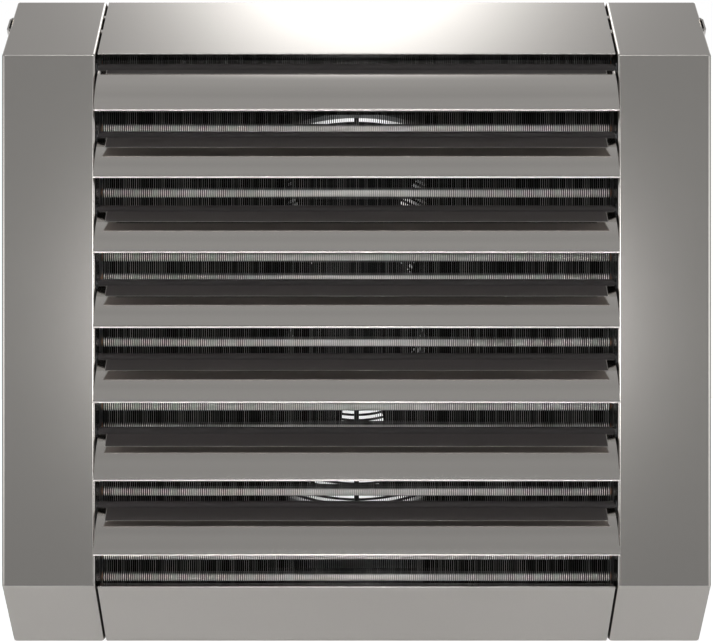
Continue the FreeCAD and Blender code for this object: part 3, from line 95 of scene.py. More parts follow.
class Shader:
    """A node material with one Principled shader and short calls to wire it."""

    def __init__(self, name, **constants):
        self.material = bpy.data.materials.new(name)
        self.material.use_nodes = True
        self.tree = self.material.node_tree
        self.principled = self.tree.nodes["Principled BSDF"]
        for socket, number in constants.items():
            self.principled.inputs[socket.replace("_", " ")].default_value = number

    def link(self, source, socket):
        self.tree.links.new(source, self.principled.inputs[socket])

    def node(self, kind, **settings):
        made = self.tree.nodes.new(f"ShaderNode{kind}")
        for name, setting in settings.items():
            setattr(made, name, setting)
        return made

    def compute(self, operation, *sources):
        return compute(self.tree, operation, *sources)

    def place(self, stretch=(1, 1, 1)):
        """Object coordinates, stretched."""
        coordinates = self.node("TexCoord")
        mapping = self.node("Mapping")
        mapping.inputs["Scale"].default_value = stretch
        self.tree.links.new(coordinates.outputs["Object"], mapping.inputs["Vector"])
        return mapping.outputs["Vector"]

    def axes(self):
        return separate(self.tree, self.place())

    def upward(self):
        """How far the surface faces up on the object's own axes, from -1 to 1."""
        return separate(self.tree, self.node("TexCoord").outputs["Normal"])["Z"]

    def noise(self, scale, stretch=(1, 1, 1), detail=4, roughness=0.55):
        made = self.node("TexNoise")
        made.inputs["Scale"].default_value = scale
        made.inputs["Detail"].default_value = detail
        made.inputs["Roughness"].default_value = roughness
        self.tree.links.new(self.place(stretch), made.inputs["Vector"])
        return made.outputs["Fac"]

    def cells(self, scale):
        """A grey of its own for each cell."""
        made = self.node("TexVoronoi", feature="F1")
        made.inputs["Scale"].default_value = scale
        self.tree.links.new(self.place(), made.inputs["Vector"])
        grey = self.node("RGBToBW")
        self.tree.links.new(made.outputs["Color"], grey.inputs["Color"])
        return grey.outputs["Val"]

    def scale(self, source, low, high, start=0.0, end=1.0):
        return map_range(self.tree, source, low, high, start, end)

    def swing(self, noise, middle, below, above):
        """Runs from below to above a middle, over the range where most of a noise lies."""
        return self.scale(noise, middle - below, middle + above, start=0.3, end=0.7)

    def mix(self, share, low, high):
        """A colour between low and high. Each may be a colour or a socket."""
        made = self.node("Mix", data_type="RGBA")
        self.tree.links.new(share, made.inputs["Factor"])
        for name, colour in (("A", low), ("B", high)):
            socket = next(s for s in made.inputs if s.name == name and s.type == "RGBA")
            if not isinstance(colour, bpy.types.NodeSocket):
                colour = (*colour, 1)
            feed(self.tree, socket, colour)
        return next(s for s in made.outputs if s.type == "RGBA")

    def blend(self, share, low, high):
        """A number between those of two sockets."""
        made = self.node("Mix", data_type="FLOAT")
        for name, source in (("Factor", share), ("A", low), ("B", high)):
            socket = next(s for s in made.inputs if s.name == name and s.type == "VALUE")
            self.tree.links.new(source, socket)
        return next(s for s in made.outputs if s.type == "VALUE")

    def bump(self, height, strength, distance):
        made = self.node("Bump")
        made.inputs["Strength"].default_value = strength
        made.inputs["Distance"].default_value = distance
        self.tree.links.new(height, made.inputs["Height"])
        self.tree.links.new(made.outputs["Normal"], self.principled.inputs["Normal"])


# ---------------------------------------------------------------- materials

# Patterns drawn out fifty times along one axis.
ALONG_X = (0.02, 1, 1)
ALONG_Z = (1, 1, 0.02)

# Tones are linear red, green and blue.
STEEL_TONE = (0.60, 0.575, 0.545)
STEEL_GRAIN = {"scale": 2600, "detail": 3, "roughness": 0.7}
STEEL_PATCHES = {"scale": 5, "detail": 3}
# The blade's lower face is painted pale: painted light, which the blade below shows in its mirror.
UNDERSIDE_LIT_TONE = (0.78, 0.72, 0.70)
UNDERSIDE_METALLIC = 0.2
# A painted shade on the steel of a blade, by its number, against the rest: the top blade is painted
# lighter and the lowest ones darker, as the light falls on each.
BLADE_PAINTED_SHADES = {1: 1.05, 5: 0.98, 6: 0.92, 7: 0.90}

# The bead is painted near black as far as its reach round the pivot axis, and the lap is painted
# dark from there to its own reach, but for an inset at each end of the blade: a painted shade and
# reflection of the blade above.
# Painted light: the bead's upper half is a little lighter, and its lower half darker.
BEAD_LIT_TONE = (0.032, 0.029, 0.029)
BEAD_SHADED_TONE = (0.022, 0.020, 0.020)
BEAD_REACH = 5.2 * MM
BEAD_FADE = 0.3 * MM
LAP_SHADE_TONE = (0.040, 0.036, 0.035)
LAP_REACH = 23 * MM
TOP_LAP_REACH = 13 * MM
LAP_FADE = 1 * MM
LAP_INSET = 9 * MM

# The fins keep their edge tones to the first depth, and from the second they are painted near
# black: a painted shade deep between the fins.
EDGE_DEPTH, SHADE_DEPTH = 1.0 * MM, 1.6 * MM
STRAIGHT_FIN_TONE, BENT_FIN_TONE = (0.05, 0.049, 0.048), (0.42, 0.415, 0.41)
SHADED_FIN_TONES = (0.006, 0.0055, 0.005), (0.011, 0.010, 0.009)
# The tone of the painted shade on the upper and lower sides of the collars.
COLLAR_SHADE_TONE = (0.05, 0.048, 0.046)

# What chalking multiplies a paint's tone by, and adds to it.
CHALK_FACTOR, CHALK_TONE = 1.6, 0.004
PLASTIC_SHADE = 0.82


def shaded(colour, share):
    return [channel * share for channel in colour]


def stainless(name, roughness, grain):
    """Satin stainless sheet: a fine grain one way, and soft patches where it was wiped."""
    made = Shader(name, Metallic=1.0)
    grain_lines = made.noise(stretch=grain, **STEEL_GRAIN)
    patches = made.noise(**STEEL_PATCHES)
    made.link(made.mix(patches, shaded(STEEL_TONE, 0.96), shaded(STEEL_TONE, 1.05)), "Base Color")
    made.link(made.swing(grain_lines, roughness, below=0.02, above=0.02), "Roughness")
    made.bump(grain_lines, strength=0.02, distance=0.02 * MM)
    return made.material


def louvre_steel(name, half_length, axis_y, axis_z, lap_reach, shade):
    """Polished sheet, satin on its lower face, whose pale colour is painted light. Its tone carries
    a painted shade, and its bead round the pivot axis and the lap below the bead are painted dark,
    a painted shade and reflection of the blade above."""
    made = Shader(name, Specular_IOR_Level=0.1)
    place = made.axes()
    offsets = [made.compute("SUBTRACT", place[axis], centre)
               for axis, centre in (("Y", axis_y), ("Z", axis_z))]
    distance_squared = made.compute("ADD", *(made.compute("MULTIPLY", offset, offset)
                                             for offset in offsets))
    off_bead = made.scale(distance_squared, 0, 1,
                          start=BEAD_REACH ** 2, end=(BEAD_REACH + BEAD_FADE) ** 2)
    off_lap = made.scale(distance_squared, 0, 1,
                         start=(lap_reach - LAP_FADE) ** 2, end=lap_reach ** 2)
    lap_end = half_length - LAP_INSET
    past_lap = made.scale(made.compute("ABSOLUTE", place["X"]), 0, 1,
                          start=lap_end, end=lap_end + LAP_FADE)
    sheet = made.compute("MULTIPLY", off_bead, made.compute("MAXIMUM", off_lap, past_lap))
    upper = made.scale(made.upward(), 0, 1, start=-0.1, end=0.1)
    grain_lines = made.noise(stretch=ALONG_X, **STEEL_GRAIN)
    patches = made.noise(**STEEL_PATCHES)
    # The blade's painted shade scales its steel's tone.
    steel = made.mix(patches, shaded(STEEL_TONE, 0.97 * shade), shaded(STEEL_TONE, 1.03 * shade))
    # Painted highlight: the bead's upper half is painted a little lighter than its lower half.
    bead_painted_light = made.scale(place["Z"], 0, 1, start=axis_z - BEAD_REACH, end=axis_z + BEAD_REACH)
    bead = made.mix(bead_painted_light, BEAD_SHADED_TONE, BEAD_LIT_TONE)
    # Painted shade and reflection: the bead and the lap below it are painted dark.
    painted_bead_and_lap = made.mix(off_bead, bead, LAP_SHADE_TONE)
    made.link(made.mix(sheet, painted_bead_and_lap, made.mix(upper, UNDERSIDE_LIT_TONE, steel)), "Base Color")
    satin = made.scale(grain_lines, 0.42, 0.5)
    polish = made.swing(grain_lines, 0.08, below=0.02, above=0.02)
    matt = made.scale(grain_lines, 0.6, 0.7)
    made.link(made.blend(sheet, matt, made.blend(upper, satin, polish)), "Roughness")
    made.link(made.compute("MULTIPLY", sheet, made.scale(upper, UNDERSIDE_METALLIC, 1)),
              "Metallic")
    made.bump(grain_lines, strength=0.03, distance=0.02 * MM)
    return made.material


def galvanised(name, dark, light):
    """Zinc coated sheet with its spangle."""
    made = Shader(name, Metallic=1.0)
    flakes = made.cells(scale=150)
    made.link(made.mix(flakes, dark, light), "Base Color")
    made.link(made.scale(flakes, 0.34, 0.5), "Roughness")
    made.bump(made.noise(scale=240), strength=0.12, distance=0.05 * MM)
    return made.material


def powder_coat(name, colour, roughness, gloss=0.5):
    """Baked paint with a fine orange peel, chalked in clouds."""
    made = Shader(name, Specular_IOR_Level=gloss)
    peel = made.noise(scale=900, detail=2)
    chalked = [channel * CHALK_FACTOR + CHALK_TONE for channel in colour]
    made.link(made.mix(made.noise(scale=35), colour, chalked), "Base Color")
    made.link(made.swing(peel, roughness, below=0.06, above=0.06), "Roughness")
    made.bump(peel, strength=0.25, distance=0.06 * MM)
    return made.material


def moulded_plastic(name, colour, roughness):
    """Plastic with the fine spark texture of its mould."""
    made = Shader(name, Metallic=0.0)
    texture = made.noise(scale=1400, detail=2)
    made.link(made.mix(made.noise(scale=22), shaded(colour, PLASTIC_SHADE), colour), "Base Color")
    made.link(made.swing(texture, roughness, below=0.05, above=0.07), "Roughness")
    made.bump(texture, strength=0.3, distance=0.08 * MM)
    return made.material


def fin_aluminium():
    """Rolled aluminium: pale along the leading edges where the fins are bent, and painted near
    black further in, a painted shade deep between the fins."""
    made = Shader("fin_aluminium", Specular_IOR_Level=0.0)
    low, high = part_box("coil_fin_pack")
    # Painted shade: beyond the front edges the fins are painted near black.
    depth = made.scale(made.axes()["Y"], 0, 1, start=low.y + EDGE_DEPTH, end=low.y + SHADE_DEPTH)
    stripes = made.noise(scale=700, stretch=ALONG_Z, detail=2)
    bent = made.scale(made.noise(scale=260, stretch=ALONG_Z, detail=1), 0, 1, start=0.4, end=0.66)
    edge_tones = made.mix(bent, STRAIGHT_FIN_TONE, BENT_FIN_TONE)
    made.link(made.mix(depth, edge_tones, made.mix(stripes, *SHADED_FIN_TONES)), "Base Color")
    made.link(made.scale(depth, 1, 0), "Metallic")
    made.link(made.scale(stripes, 0.46, 0.54), "Roughness")
    made.bump(stripes, strength=0.1, distance=0.03 * MM)
    return made.material


def collar_aluminium(name, dull, bright):
    """The drawn sleeves round the tubes, pale with oxide, or painted dark as a painted shade. Their
    upper and lower sides are painted dark, a painted shade on the round of each tube."""
    made = Shader(name, Metallic=0.25)
    stripes = made.noise(scale=500, stretch=ALONG_X, detail=2)
    upward = made.upward()
    # Painted shade: the collar is painted dark where it faces up or down.
    clear_of_top_shade = made.scale(upward, 1, 0, start=0.3, end=0.65)
    clear_of_bottom_shade = made.scale(upward, 0, 1, start=-0.95, end=-0.75)
    made.link(made.mix(made.compute("MULTIPLY", clear_of_top_shade, clear_of_bottom_shade), COLLAR_SHADE_TONE,
                       made.mix(stripes, dull, bright)), "Base Color")
    made.link(made.scale(stripes, 0.45, 0.52), "Roughness")
    made.bump(made.noise(scale=1200), strength=0.1, distance=0.03 * MM)
    return made.material


def patchy(name, tones, roughness, pattern, strength, distance, relief=None, metallic=1.0):
    """Two tones and two degrees of polish, spread by one pattern. The relief is a finer
    pattern, or the same one."""
    made = Shader(name, Metallic=metallic)
    patches = made.noise(**pattern)
    made.link(made.mix(patches, *tones), "Base Color")
    made.link(made.scale(patches, *roughness), "Roughness")
    made.bump(made.noise(**relief) if relief else patches, strength=strength, distance=distance)
    return made.material


CAP_STEEL = stainless("stainless_caps", roughness=0.16, grain=ALONG_Z)
PANEL_STEEL = stainless("stainless_panels", roughness=0.24, grain=ALONG_X)
GALVANISED = galvanised(
    "galvanised_sheet", dark=(0.44, 0.45, 0.46), light=(0.57, 0.58, 0.59))
# Painted shade: the coil's frame is painted near black inside the casing.
SHADED_ZINC = galvanised(
    "shaded_galvanised_sheet", dark=(0.045, 0.044, 0.043), light=(0.075, 0.074, 0.072))
GUARD_BLACK = powder_coat(
    "guard_black", colour=(0.016, 0.016, 0.017), roughness=0.5, gloss=0.3)
ROTOR_BLACK = powder_coat(
    "rotor_black", colour=(0.009, 0.009, 0.010), roughness=0.62, gloss=0.12)
BLACK_STEEL = powder_coat(
    "blackened_steel", colour=(0.026, 0.025, 0.025), roughness=0.5, gloss=0.25)
PRIMER = powder_coat("header_primer", colour=(0.03, 0.03, 0.034), roughness=0.55)
FIN = fin_aluminium()
COLLAR = collar_aluminium(
    "collar_aluminium", dull=(0.88, 0.84, 0.81), bright=(0.96, 0.92, 0.89))
# Painted shade: collars painted dark for tubes that lie in shade.
SHADED_COLLAR = collar_aluminium(
    "shaded_collar", dull=(0.03, 0.028, 0.027), bright=(0.06, 0.057, 0.055))
BUSH_PLASTIC = moulded_plastic("bush_plastic", colour=(0.028, 0.028, 0.03), roughness=0.45)
TERMINAL_PLASTIC = moulded_plastic("terminal_plastic", colour=(0.34, 0.35, 0.36), roughness=0.5)
GLAND_PLASTIC = moulded_plastic("gland_plastic", colour=(0.04, 0.04, 0.042), roughness=0.45)
ZINC = patchy(
    "zinc_plate", tones=((0.5, 0.5, 0.47), (0.72, 0.72, 0.7)), roughness=(0.25, 0.45),
    pattern={"scale": 500}, relief={"scale": 2500}, strength=0.1, distance=0.03 * MM)
COPPER = patchy(
    "copper", tones=((0.36, 0.15, 0.075), (0.82, 0.44, 0.28)), roughness=(0.42, 0.22),
    pattern={"scale": 60, "stretch": (0.4, 1, 1)}, relief={"scale": 900, "stretch": ALONG_X},
    strength=0.08, distance=0.03 * MM)
BRASS = patchy(
    "brass", tones=((0.55, 0.38, 0.13), (0.78, 0.58, 0.26)), roughness=(0.24, 0.4),
    pattern={"scale": 300}, relief={"scale": 1800}, strength=0.08, distance=0.03 * MM)
CASTING = patchy(
    "die_casting", tones=((0.36, 0.36, 0.37), (0.56, 0.56, 0.57)), roughness=(0.42, 0.6),
    pattern={"scale": 420, "detail": 6}, strength=0.35, distance=0.12 * MM)
RUBBER = patchy(
    "rubber", tones=((0.012, 0.012, 0.012), (0.035, 0.034, 0.033)), roughness=(0.62, 0.8),
    pattern={"scale": 160}, relief={"scale": 1500}, strength=0.2, distance=0.06 * MM,
    metallic=0.0)
# Stacked sheets, seen from their edges.
IRON = patchy(
    "laminated_iron", tones=((0.16, 0.15, 0.15), (0.38, 0.37, 0.36)), roughness=(0.4, 0.6),
    pattern={"scale": 1500, "stretch": (0.05, 1, 0.05), "detail": 1},
    strength=0.4, distance=0.1 * MM)

FINISHES = {
    "casing_side_": CAP_STEEL,
    "casing_top_panel": PANEL_STEEL,
    "casing_bottom_panel": PANEL_STEEL,
    "hanger_loop_": CAP_STEEL,
    "louvre_pins_": BLACK_STEEL,
    "louvre_bushes": BUSH_PLASTIC,
    "rear_panel": GALVANISED,
    "fan_inlet_ring": GALVANISED,
    "coil_end_plate_": GALVANISED,
    "coil_frame_": SHADED_ZINC,
    "coil_fin_pack": FIN,
    "coil_hairpin_tubes": COPPER,
    "coil_return_bends": COPPER,
    "stator_winding": COPPER,
    "supply_": PRIMER,
    "return_": PRIMER,
    "header_plugs": BRASS,
    "pipe_grommets": RUBBER,
    "fan_guard_": GUARD_BLACK,
    "fan_blade_": ROTOR_BLACK,
    "rotor_can": ROTOR_BLACK,
    "rotor_cage": IRON,
    "stator_core": IRON,
    "motor_shaft": IRON,
    "motor_bearings": IRON,
    "motor_flange": CASTING,
    "ceiling_rivet_nuts": ZINC,
    "terminal_box_screws": ZINC,
    "casing_screws": ZINC,
    "guard_screws": ZINC,
    "motor_screws": ZINC,
    "terminal_box_": TERMINAL_PLASTIC,
    "cable_gland_": GLAND_PLASTIC,
}


def blade_finish(name):
    """The blade's steel with its painted shade, whose painted dark bead follows the pivot pins
    beside it.
    """
    low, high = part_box(name.replace("blade", "pins"))
    half_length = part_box(name)[1].x
    number = int(name.rsplit("_", 1)[1])
    reach = TOP_LAP_REACH if number == 1 else LAP_REACH
    return louvre_steel(f"stainless_{name}", half_length, (low.y + high.y) / 2,
                        (low.z + high.z) / 2, reach, BLADE_PAINTED_SHADES.get(number, 1.0))


def dress_cad_nodes():
    """Gives each node the finish of the first matching name."""
    for name, thing in NODES.items():
        if name.startswith("louvre_blade_"):
            finish = blade_finish(name)
        else:
            finish = next(made for start, made in FINISHES.items() if name.startswith(start))
        thing.data.materials.clear()
        thing.data.materials.append(finish)


# ---------------------------------------------------------------- pieces

FIN_PITCH = 2.17 * MM
FIN_THICKNESS = 0.24 * MM

TUBE_ROWS = 25
# Where the two rows of tubes lie, as shares of the fins' depth.
FRONT_TUBES, REAR_TUBES = 0.25, 0.75
COLLAR_RADIUS = 5.0 * MM
COLLAR_SEGMENTS = 28

WELD = 0.001 * MM
SHARP_ANGLE = radians(35)

SCREW_SEGMENTS = 36
# The head from its rim to its crown: share of its height, share of its radius.
SCREW_HEAD = ((0, 0.96), (0.12, 1), (0.4, 1), (0.66, 0.95), (0.84, 0.84), (0.95, 0.7), (1, 0.56))
# Shares of the shank's radius.
TIP_RADIUS, TIP_LENGTH = 0.8, 0.2
# The socket narrows by its taper to the floor, where a drill's cone begins. Widths are shares
# of the head's radius, and depths of its height.
SOCKET_WIDTH, SOCKET_TAPER, SOCKET_CONE_WIDTH = 0.52, 0.94, 0.1
SOCKET_DEPTH, SOCKET_CONE_DEPTH = 0.6, 0.08

# Segments round a ring of the guard, and round its wire.
RING_SEGMENTS, WIRE_SEGMENTS = 144, 10

STUB_SEGMENTS = 60
THREAD_PITCH = 1.814 * MM
THREAD_DEPTH = 1.16 * MM
STATIONS_PER_TURN = 6
# How far the flanks would rise, in thread depths, if the crest weren't flat.
FLANK_RISE = 1.5


def piece_from(name, build, finish, body, smooth=False):
    """A mesh piece that rides on a body, filled in by build."""
    mesh = bpy.data.meshes.new(name)
    shape = bmesh.new()
    build(shape)
    shape.to_mesh(mesh)
    shape.free()
    if smooth:
        mesh.shade_smooth()
    made = bpy.data.objects.new(name, mesh)
    bpy.context.scene.collection.objects.link(made)
    mesh.materials.append(finish)
    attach(made, body)
    return made


def add_box(shape, low, high):
    centre = (Vector(low) + Vector(high)) / 2
    size = Vector(high) - Vector(low)
    matrix = Matrix.Translation(centre) @ Matrix.Diagonal((*size, 1))
    bmesh.ops.create_cube(shape, size=1, matrix=matrix)


def fins():
    """The stack of fins, each a sheet across the coil."""
    low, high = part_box("coil_fin_pack")
    count = int((high.x - low.x) / FIN_PITCH)
    first = (low.x + high.x - count * FIN_PITCH) / 2

    def build(shape):
        for number in range(count + 1):
            x = first + number * FIN_PITCH
            x = min(max(x, low.x + FIN_THICKNESS / 2), high.x - FIN_THICKNESS / 2)
            add_box(shape, (x - FIN_THICKNESS / 2, low.y, low.z),
                    (x + FIN_THICKNESS / 2, high.y, high.z))

    return piece_from("coil_fins", build, FIN, "casing")


def collars():
    """The sleeves that the fins' collars make round each tube. The top one in front and the whole
    rear row are painted dark, a painted shade under the top slope and deep in the coil."""
    low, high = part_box("coil_fin_pack")
    pitch = (high.z - low.z) / TUBE_ROWS
    every = range(TUBE_ROWS)
    for row, share, numbers, finish in (("front", FRONT_TUBES, every[:-1], COLLAR),
                                        ("top", FRONT_TUBES, every[-1:], SHADED_COLLAR),
                                        ("rear", REAR_TUBES, every, SHADED_COLLAR)):
        y = low.y + (high.y - low.y) * share

        def build(shape, y=y, numbers=numbers):
            for number in numbers:
                z = low.z + (number + 0.5) * pitch
                matrix = (Matrix.Translation(((low.x + high.x) / 2, y, z))
                          @ Matrix.Rotation(pi / 2, 4, "Y"))
                bmesh.ops.create_cone(
                    shape, cap_ends=True, segments=COLLAR_SEGMENTS, radius1=COLLAR_RADIUS,
                    radius2=COLLAR_RADIUS, depth=high.x - low.x, matrix=matrix)

        piece_from(f"coil_collars_{row}", build, finish, "casing", smooth=True)


def solids(name):
    """The corner points of each separate solid in a CAD node."""
    copy = bmesh.new()
    copy.from_mesh(NODES[name].data)
    bmesh.ops.remove_doubles(copy, verts=copy.verts, dist=WELD)
    waiting, groups = set(copy.verts), []
    for seed in copy.verts:
        if seed not in waiting:
            continue
        waiting.remove(seed)
        front, points = [seed], []
        while front:
            vertex = front.pop()
            points.append(vertex.co.copy())
            for edge in vertex.link_edges:
                other = edge.other_vert(vertex)
                if other in waiting:
                    waiting.remove(other)
                    front.append(other)
        groups.append(points)
    copy.free()
    return groups


def middle_and_half(numbers):
    low, high = min(numbers), max(numbers)
    return (low + high) / 2, (high - low) / 2


def turned(shape, centre_x, centre_z, stations, segments, tube=False):
    """A solid turned about an axis along Y. A station is a place along the axis and a radius,
    which may be a function of the angle. A tube's last station closes on its first."""
    angles = [number * tau / segments for number in range(segments)]
    rings = []
    for y, radius in stations:
        reaches = [radius(angle) if callable(radius) else radius for angle in angles]
        rings.append([shape.verts.new((centre_x + reach * cos(angle), y,
                                       centre_z + reach * sin(angle)))
                      for angle, reach in zip(angles, reaches)])
    pairs = list(zip(rings, rings[1:]))
    if tube:
        pairs.append((rings[-1], rings[0]))
    else:
        shape.faces.new(rings[0])
        shape.faces.new(rings[-1])
    for low, high in pairs:
        for number in range(segments):
            after = (number + 1) % segments
            shape.faces.new((low[number], low[after], high[after], high[number]))
    bmesh.ops.recalc_face_normals(shape, faces=shape.faces)


def hexagon(radius):
    """The radius of a hexagon's outline at an angle."""
    return lambda angle: radius * cos(pi / 6) / cos(angle % (pi / 3) - pi / 6)


def screws(name):
    """Pan-head screws with a hexagon socket, in the places of the CAD ones."""
    def build(shape):
        for points in solids(name):
            x, head = middle_and_half([p.x for p in points])
            z, _ = middle_and_half([p.z for p in points])
            tip, crown = min(p.y for p in points), max(p.y for p in points)
            shank = max(hypot(p.x - x, p.z - z) for p in points if p.y < tip + WELD)
            seat = min(p.y for p in points if hypot(p.x - x, p.z - z) > (shank + head) / 2)
            height = crown - seat
            stations = [(tip, shank * TIP_RADIUS), (tip + shank * TIP_LENGTH, shank), (seat, shank)]
            stations += [(seat + up * height, head * out) for up, out in SCREW_HEAD]
            floor_y = crown - SOCKET_DEPTH * height
            stations += [(crown, hexagon(head * SOCKET_WIDTH)),
                         (floor_y, hexagon(head * SOCKET_WIDTH * SOCKET_TAPER)),
                         (floor_y - SOCKET_CONE_DEPTH * height, head * SOCKET_CONE_WIDTH)]
            turned(shape, x, z, stations, SCREW_SEGMENTS)

    made = piece_from(f"{name}_turned", build, ZINC, "casing", smooth=True)
    made.data.set_sharp_from_angle(angle=SHARP_ANGLE)
    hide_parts(name)


def round_wires():
    """The guard's rings as round wire."""
    low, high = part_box("fan_guard_rings")
    x, z = (low.x + high.x) / 2, (low.z + high.z) / 2
    turns = [number * tau / WIRE_SEGMENTS for number in range(WIRE_SEGMENTS)]

    def build(shape):
        for points in solids("fan_guard_rings"):
            ring, _ = middle_and_half([hypot(p.x - x, p.z - z) for p in points])
            middle, wire = middle_and_half([p.y for p in points])
            turned(shape, x, z, [(middle + wire * sin(turn), ring + wire * cos(turn))
                                 for turn in turns], RING_SEGMENTS, tube=True)

    made = piece_from("fan_guard_wires", build, GUARD_BLACK, "casing", smooth=True)
    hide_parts("fan_guard_rings")


def threaded_stub(name):
    """A water pipe whose wider end carries a pipe thread."""
    points = solids(name)[0]
    low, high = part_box(name)
    x, z = (low.x + high.x) / 2, (low.z + high.z) / 2
    radii = [(p.y, hypot(p.x - x, p.z - z)) for p in points]
    bore = min(radius for _, radius in radii)
    pipe = max(radius for y, radius in radii if y < low.y + WELD)
    crest = max(radius for _, radius in radii)
    start = min(y for y, radius in radii if radius > (pipe + crest) / 2)
    root = crest - THREAD_DEPTH

    def tooth(y):
        """The thread's outline there, which fades out over its first and last turn."""
        fade = min(1, (y - start) / THREAD_PITCH, (high.y - y) / THREAD_PITCH)

        def radius(angle):
            share = (y / THREAD_PITCH - angle / tau) % 1
            flank = FLANK_RISE * (1 - abs(2 * share - 1))
            return root + THREAD_DEPTH * fade * min(1, flank)
        return radius

    def build(shape):
        count = int((high.y - start) / THREAD_PITCH * STATIONS_PER_TURN)
        step = (high.y - start) / count
        stations = [(low.y, bore), (low.y, pipe), (start, pipe)]
        stations += [(start + number * step, tooth(start + number * step))
                     for number in range(count + 1)]
        stations += [(high.y, bore)]
        turned(shape, x, z, stations, STUB_SEGMENTS, tube=True)

    made = piece_from(f"{name}_threaded", build, PRIMER, "casing", smooth=True)
    made.data.set_sharp_from_angle(angle=SHARP_ANGLE)
    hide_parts(name)


# ---------------------------------------------------------------- studio

CAMERA_DISTANCE = 1.6
CAMERA_LENS = 80.8
SENSOR_WIDTH = 36
FRONT_CENTRE = Vector((0, -0.160, -0.3346))

FLOOR_LEVEL = -1.05
FLOOR_FRONT = -0.9
FLOOR_HALF_SIDE = 7
FLOOR_GLOW = 0.75
FLOOR_GLOW_IN_METAL = 0.04
FLOOR_TONES = (0.80, 0.80, 0.80), (0.84, 0.84, 0.84)

# The room's brightness from straight down, 0, to straight up, 1.
ROOM_LEVELS = ((0.0, 0.265), (0.5, 0.265), (0.82, 0.405), (0.92, 0.425), (0.955, 0.395),
               (0.985, 0.42), (1.0, 0.46))
# How far a direction points back where the backdrop begins, and where it is full.
BACKDROP_START, BACKDROP_FULL = 0.55, 0.75

# Watts on each square metre of a lamp, which its strength multiplies.
LAMP_POWER = 4


def camera():
    data = bpy.data.cameras.new("camera")
    data.lens = CAMERA_LENS
    data.sensor_width = SENSOR_WIDTH
    made = bpy.data.objects.new("camera", data)
    made.location = FRONT_CENTRE - Vector((0, CAMERA_DISTANCE, 0))
    made.rotation_euler = (pi / 2, 0, 0)
    bpy.context.scene.collection.objects.link(made)
    bpy.context.scene.camera = made


def soft_lamp(name, place, target, side, centre_strength, spread, in_metal=True):
    """A square softbox, brightest at its middle, whose light fades as a bell curve. spread is
    the curve's width in metres, across and up. in_metal says if metal mirrors the lamp."""
    data = bpy.data.lights.new(name, "AREA")
    data.size = side
    data.energy = LAMP_POWER * side ** 2
    data.use_nodes = True
    tree = data.node_tree
    across = separate(tree, tree.nodes.new("ShaderNodeNewGeometry").outputs["Parametric"])
    squares = []
    for axis, width in zip("XY", spread):
        share = compute(tree, "SUBTRACT", across[axis], 0.5)
        offset = compute(tree, "ABSOLUTE", compute(tree, "MULTIPLY", share, side / width))
        squares.append(compute(tree, "POWER", offset, 2))
    total = compute(tree, "ADD", *squares)
    fade = compute(tree, "EXPONENT", compute(tree, "MULTIPLY", total, -0.5))
    feed(tree, tree.nodes["Emission"].inputs["Strength"],
         compute(tree, "MULTIPLY", fade, centre_strength))
    made = bpy.data.objects.new(name, data)
    made.location = place
    aim = Vector(target) - Vector(place)
    made.rotation_euler = aim.to_track_quat("-Z", "Y").to_euler()
    made.visible_camera = False
    made.visible_glossy = in_metal
    bpy.context.scene.collection.objects.link(made)


def lamps():
    middle = (0, 0, -0.33)
    soft_lamp("overhead_softbox", place=(0, 0.38, 0.9), target=(0, 0.38, 0), side=1.4,
              centre_strength=3.4, spread=(0.177, 0.160))
    soft_lamp("front_softbox", place=(0, -2.9, -0.33), target=middle, side=2.2,
              centre_strength=6.6, spread=(0.27, 0.20))
    soft_lamp("fill_lamp", place=(0, -2.9, -0.33), target=middle, side=0.6,
              centre_strength=190, spread=(0.12, 0.12), in_metal=False)
    soft_lamp("high_softbox", place=(0, -2.6, 1.15), target=(0, -0.15, -0.06), side=2.6,
              centre_strength=9.0, spread=(0.5, 0.075))
    for name, x in (("left", -1.5), ("right", 1.5)):
        soft_lamp(f"{name}_softbox", place=(x, -1.5, -0.33), target=middle, side=1.4,
                  centre_strength=1.4, spread=(0.45, 0.45))


def background(tree, colour):
    made = tree.nodes.new("ShaderNodeBackground")
    feed(tree, made.inputs["Color"], colour)
    made.inputs["Strength"].default_value = 1
    return made.outputs["Background"]


def room_ramp(tree, height):
    """The room's grey at a height."""
    ramp = tree.nodes.new("ShaderNodeValToRGB")
    ramp.color_ramp.interpolation = "EASE"
    elements = ramp.color_ramp.elements
    while len(elements) < len(ROOM_LEVELS):
        elements.new(0.5)
    for element, (place, level) in zip(elements, ROOM_LEVELS):
        element.position = place
        element.color = (level, level, level, 1)
    tree.links.new(height, ramp.inputs["Fac"])
    return ramp.outputs["Color"]


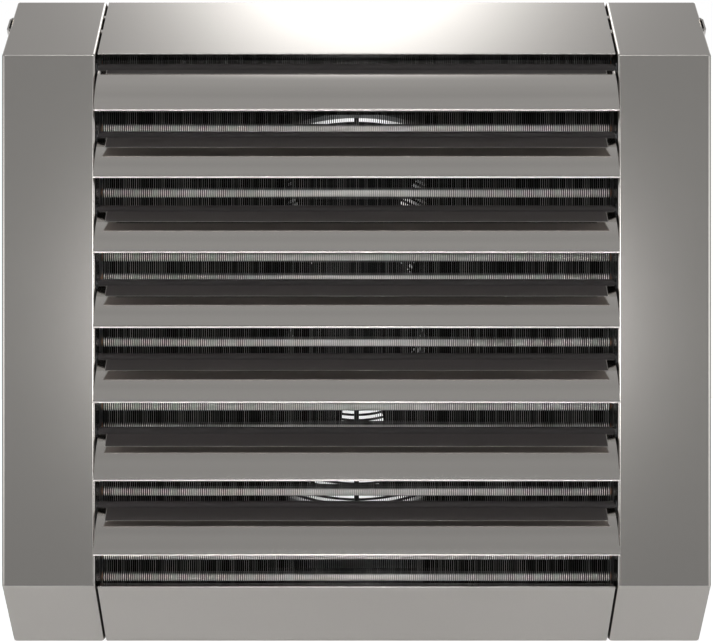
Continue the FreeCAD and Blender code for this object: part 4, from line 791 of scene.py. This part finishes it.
def world():
    """White behind the object, for the eye and in the metal, and a soft grey studio round it."""
    made = bpy.data.worlds.new("studio")
    made.use_nodes = True
    tree = made.node_tree
    tree.nodes.clear()
    direction = separate(tree, tree.nodes.new("ShaderNodeTexCoord").outputs["Generated"])
    height = map_range(tree, direction["Z"], 0, 1, start=-1, end=1)
    behind = map_range(tree, direction["Y"], 0, 1, start=BACKDROP_START, end=BACKDROP_FULL,
                       interpolation="SMOOTHSTEP")
    path = tree.nodes.new("ShaderNodeLightPath").outputs
    in_metal = compute(tree, "MAXIMUM", path["Is Glossy Ray"], path["Is Transmission Ray"])
    seen = compute(tree, "MULTIPLY_ADD", in_metal, behind, path["Is Camera Ray"])
    mix = tree.nodes.new("ShaderNodeMixShader")
    tree.links.new(seen, mix.inputs["Fac"])
    tree.links.new(background(tree, room_ramp(tree, height)), mix.inputs[1])
    tree.links.new(background(tree, (1, 1, 1, 1)), mix.inputs[2])
    output = tree.nodes.new("ShaderNodeOutputWorld")
    tree.links.new(mix.outputs["Shader"], output.inputs["Surface"])
    bpy.context.scene.world = made


def floor():
    """A pale floor, as white as the backdrop to the eye wherever no shadow falls."""
    mesh = bpy.data.meshes.new("floor")
    shape = bmesh.new()
    centre = (0, FLOOR_FRONT + FLOOR_HALF_SIDE, FLOOR_LEVEL)
    bmesh.ops.create_grid(shape, x_segments=1, y_segments=1, size=FLOOR_HALF_SIDE,
                          matrix=Matrix.Translation(centre))
    shape.to_mesh(mesh)
    shape.free()
    made = bpy.data.objects.new("floor", mesh)
    bpy.context.scene.collection.objects.link(made)
    paint = Shader("floor_paint", Roughness=0.9, Emission_Color=(1, 1, 1, 1))
    paint.link(paint.mix(paint.noise(scale=3), *FLOOR_TONES), "Base Color")
    path = paint.node("LightPath").outputs
    to_eye = paint.compute("MULTIPLY", path["Is Camera Ray"], FLOOR_GLOW)
    glow = paint.compute("MULTIPLY_ADD", path["Is Glossy Ray"], FLOOR_GLOW_IN_METAL, to_eye)
    paint.link(glow, "Emission Strength")
    mesh.materials.append(paint.material)


# ---------------------------------------------------------------- scene

bpy.context.scene.view_settings.view_transform = "Standard"
dress_cad_nodes()
fin_stack = fins()
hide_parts("coil_fin_pack")
collars()
for screw_set in ("casing_screws", "guard_screws", "motor_screws", "terminal_box_screws"):
    screws(screw_set)
round_wires()
for stub in ("supply_connection", "return_connection"):
    threaded_stub(stub)
camera()
lamps()
world()
floor()
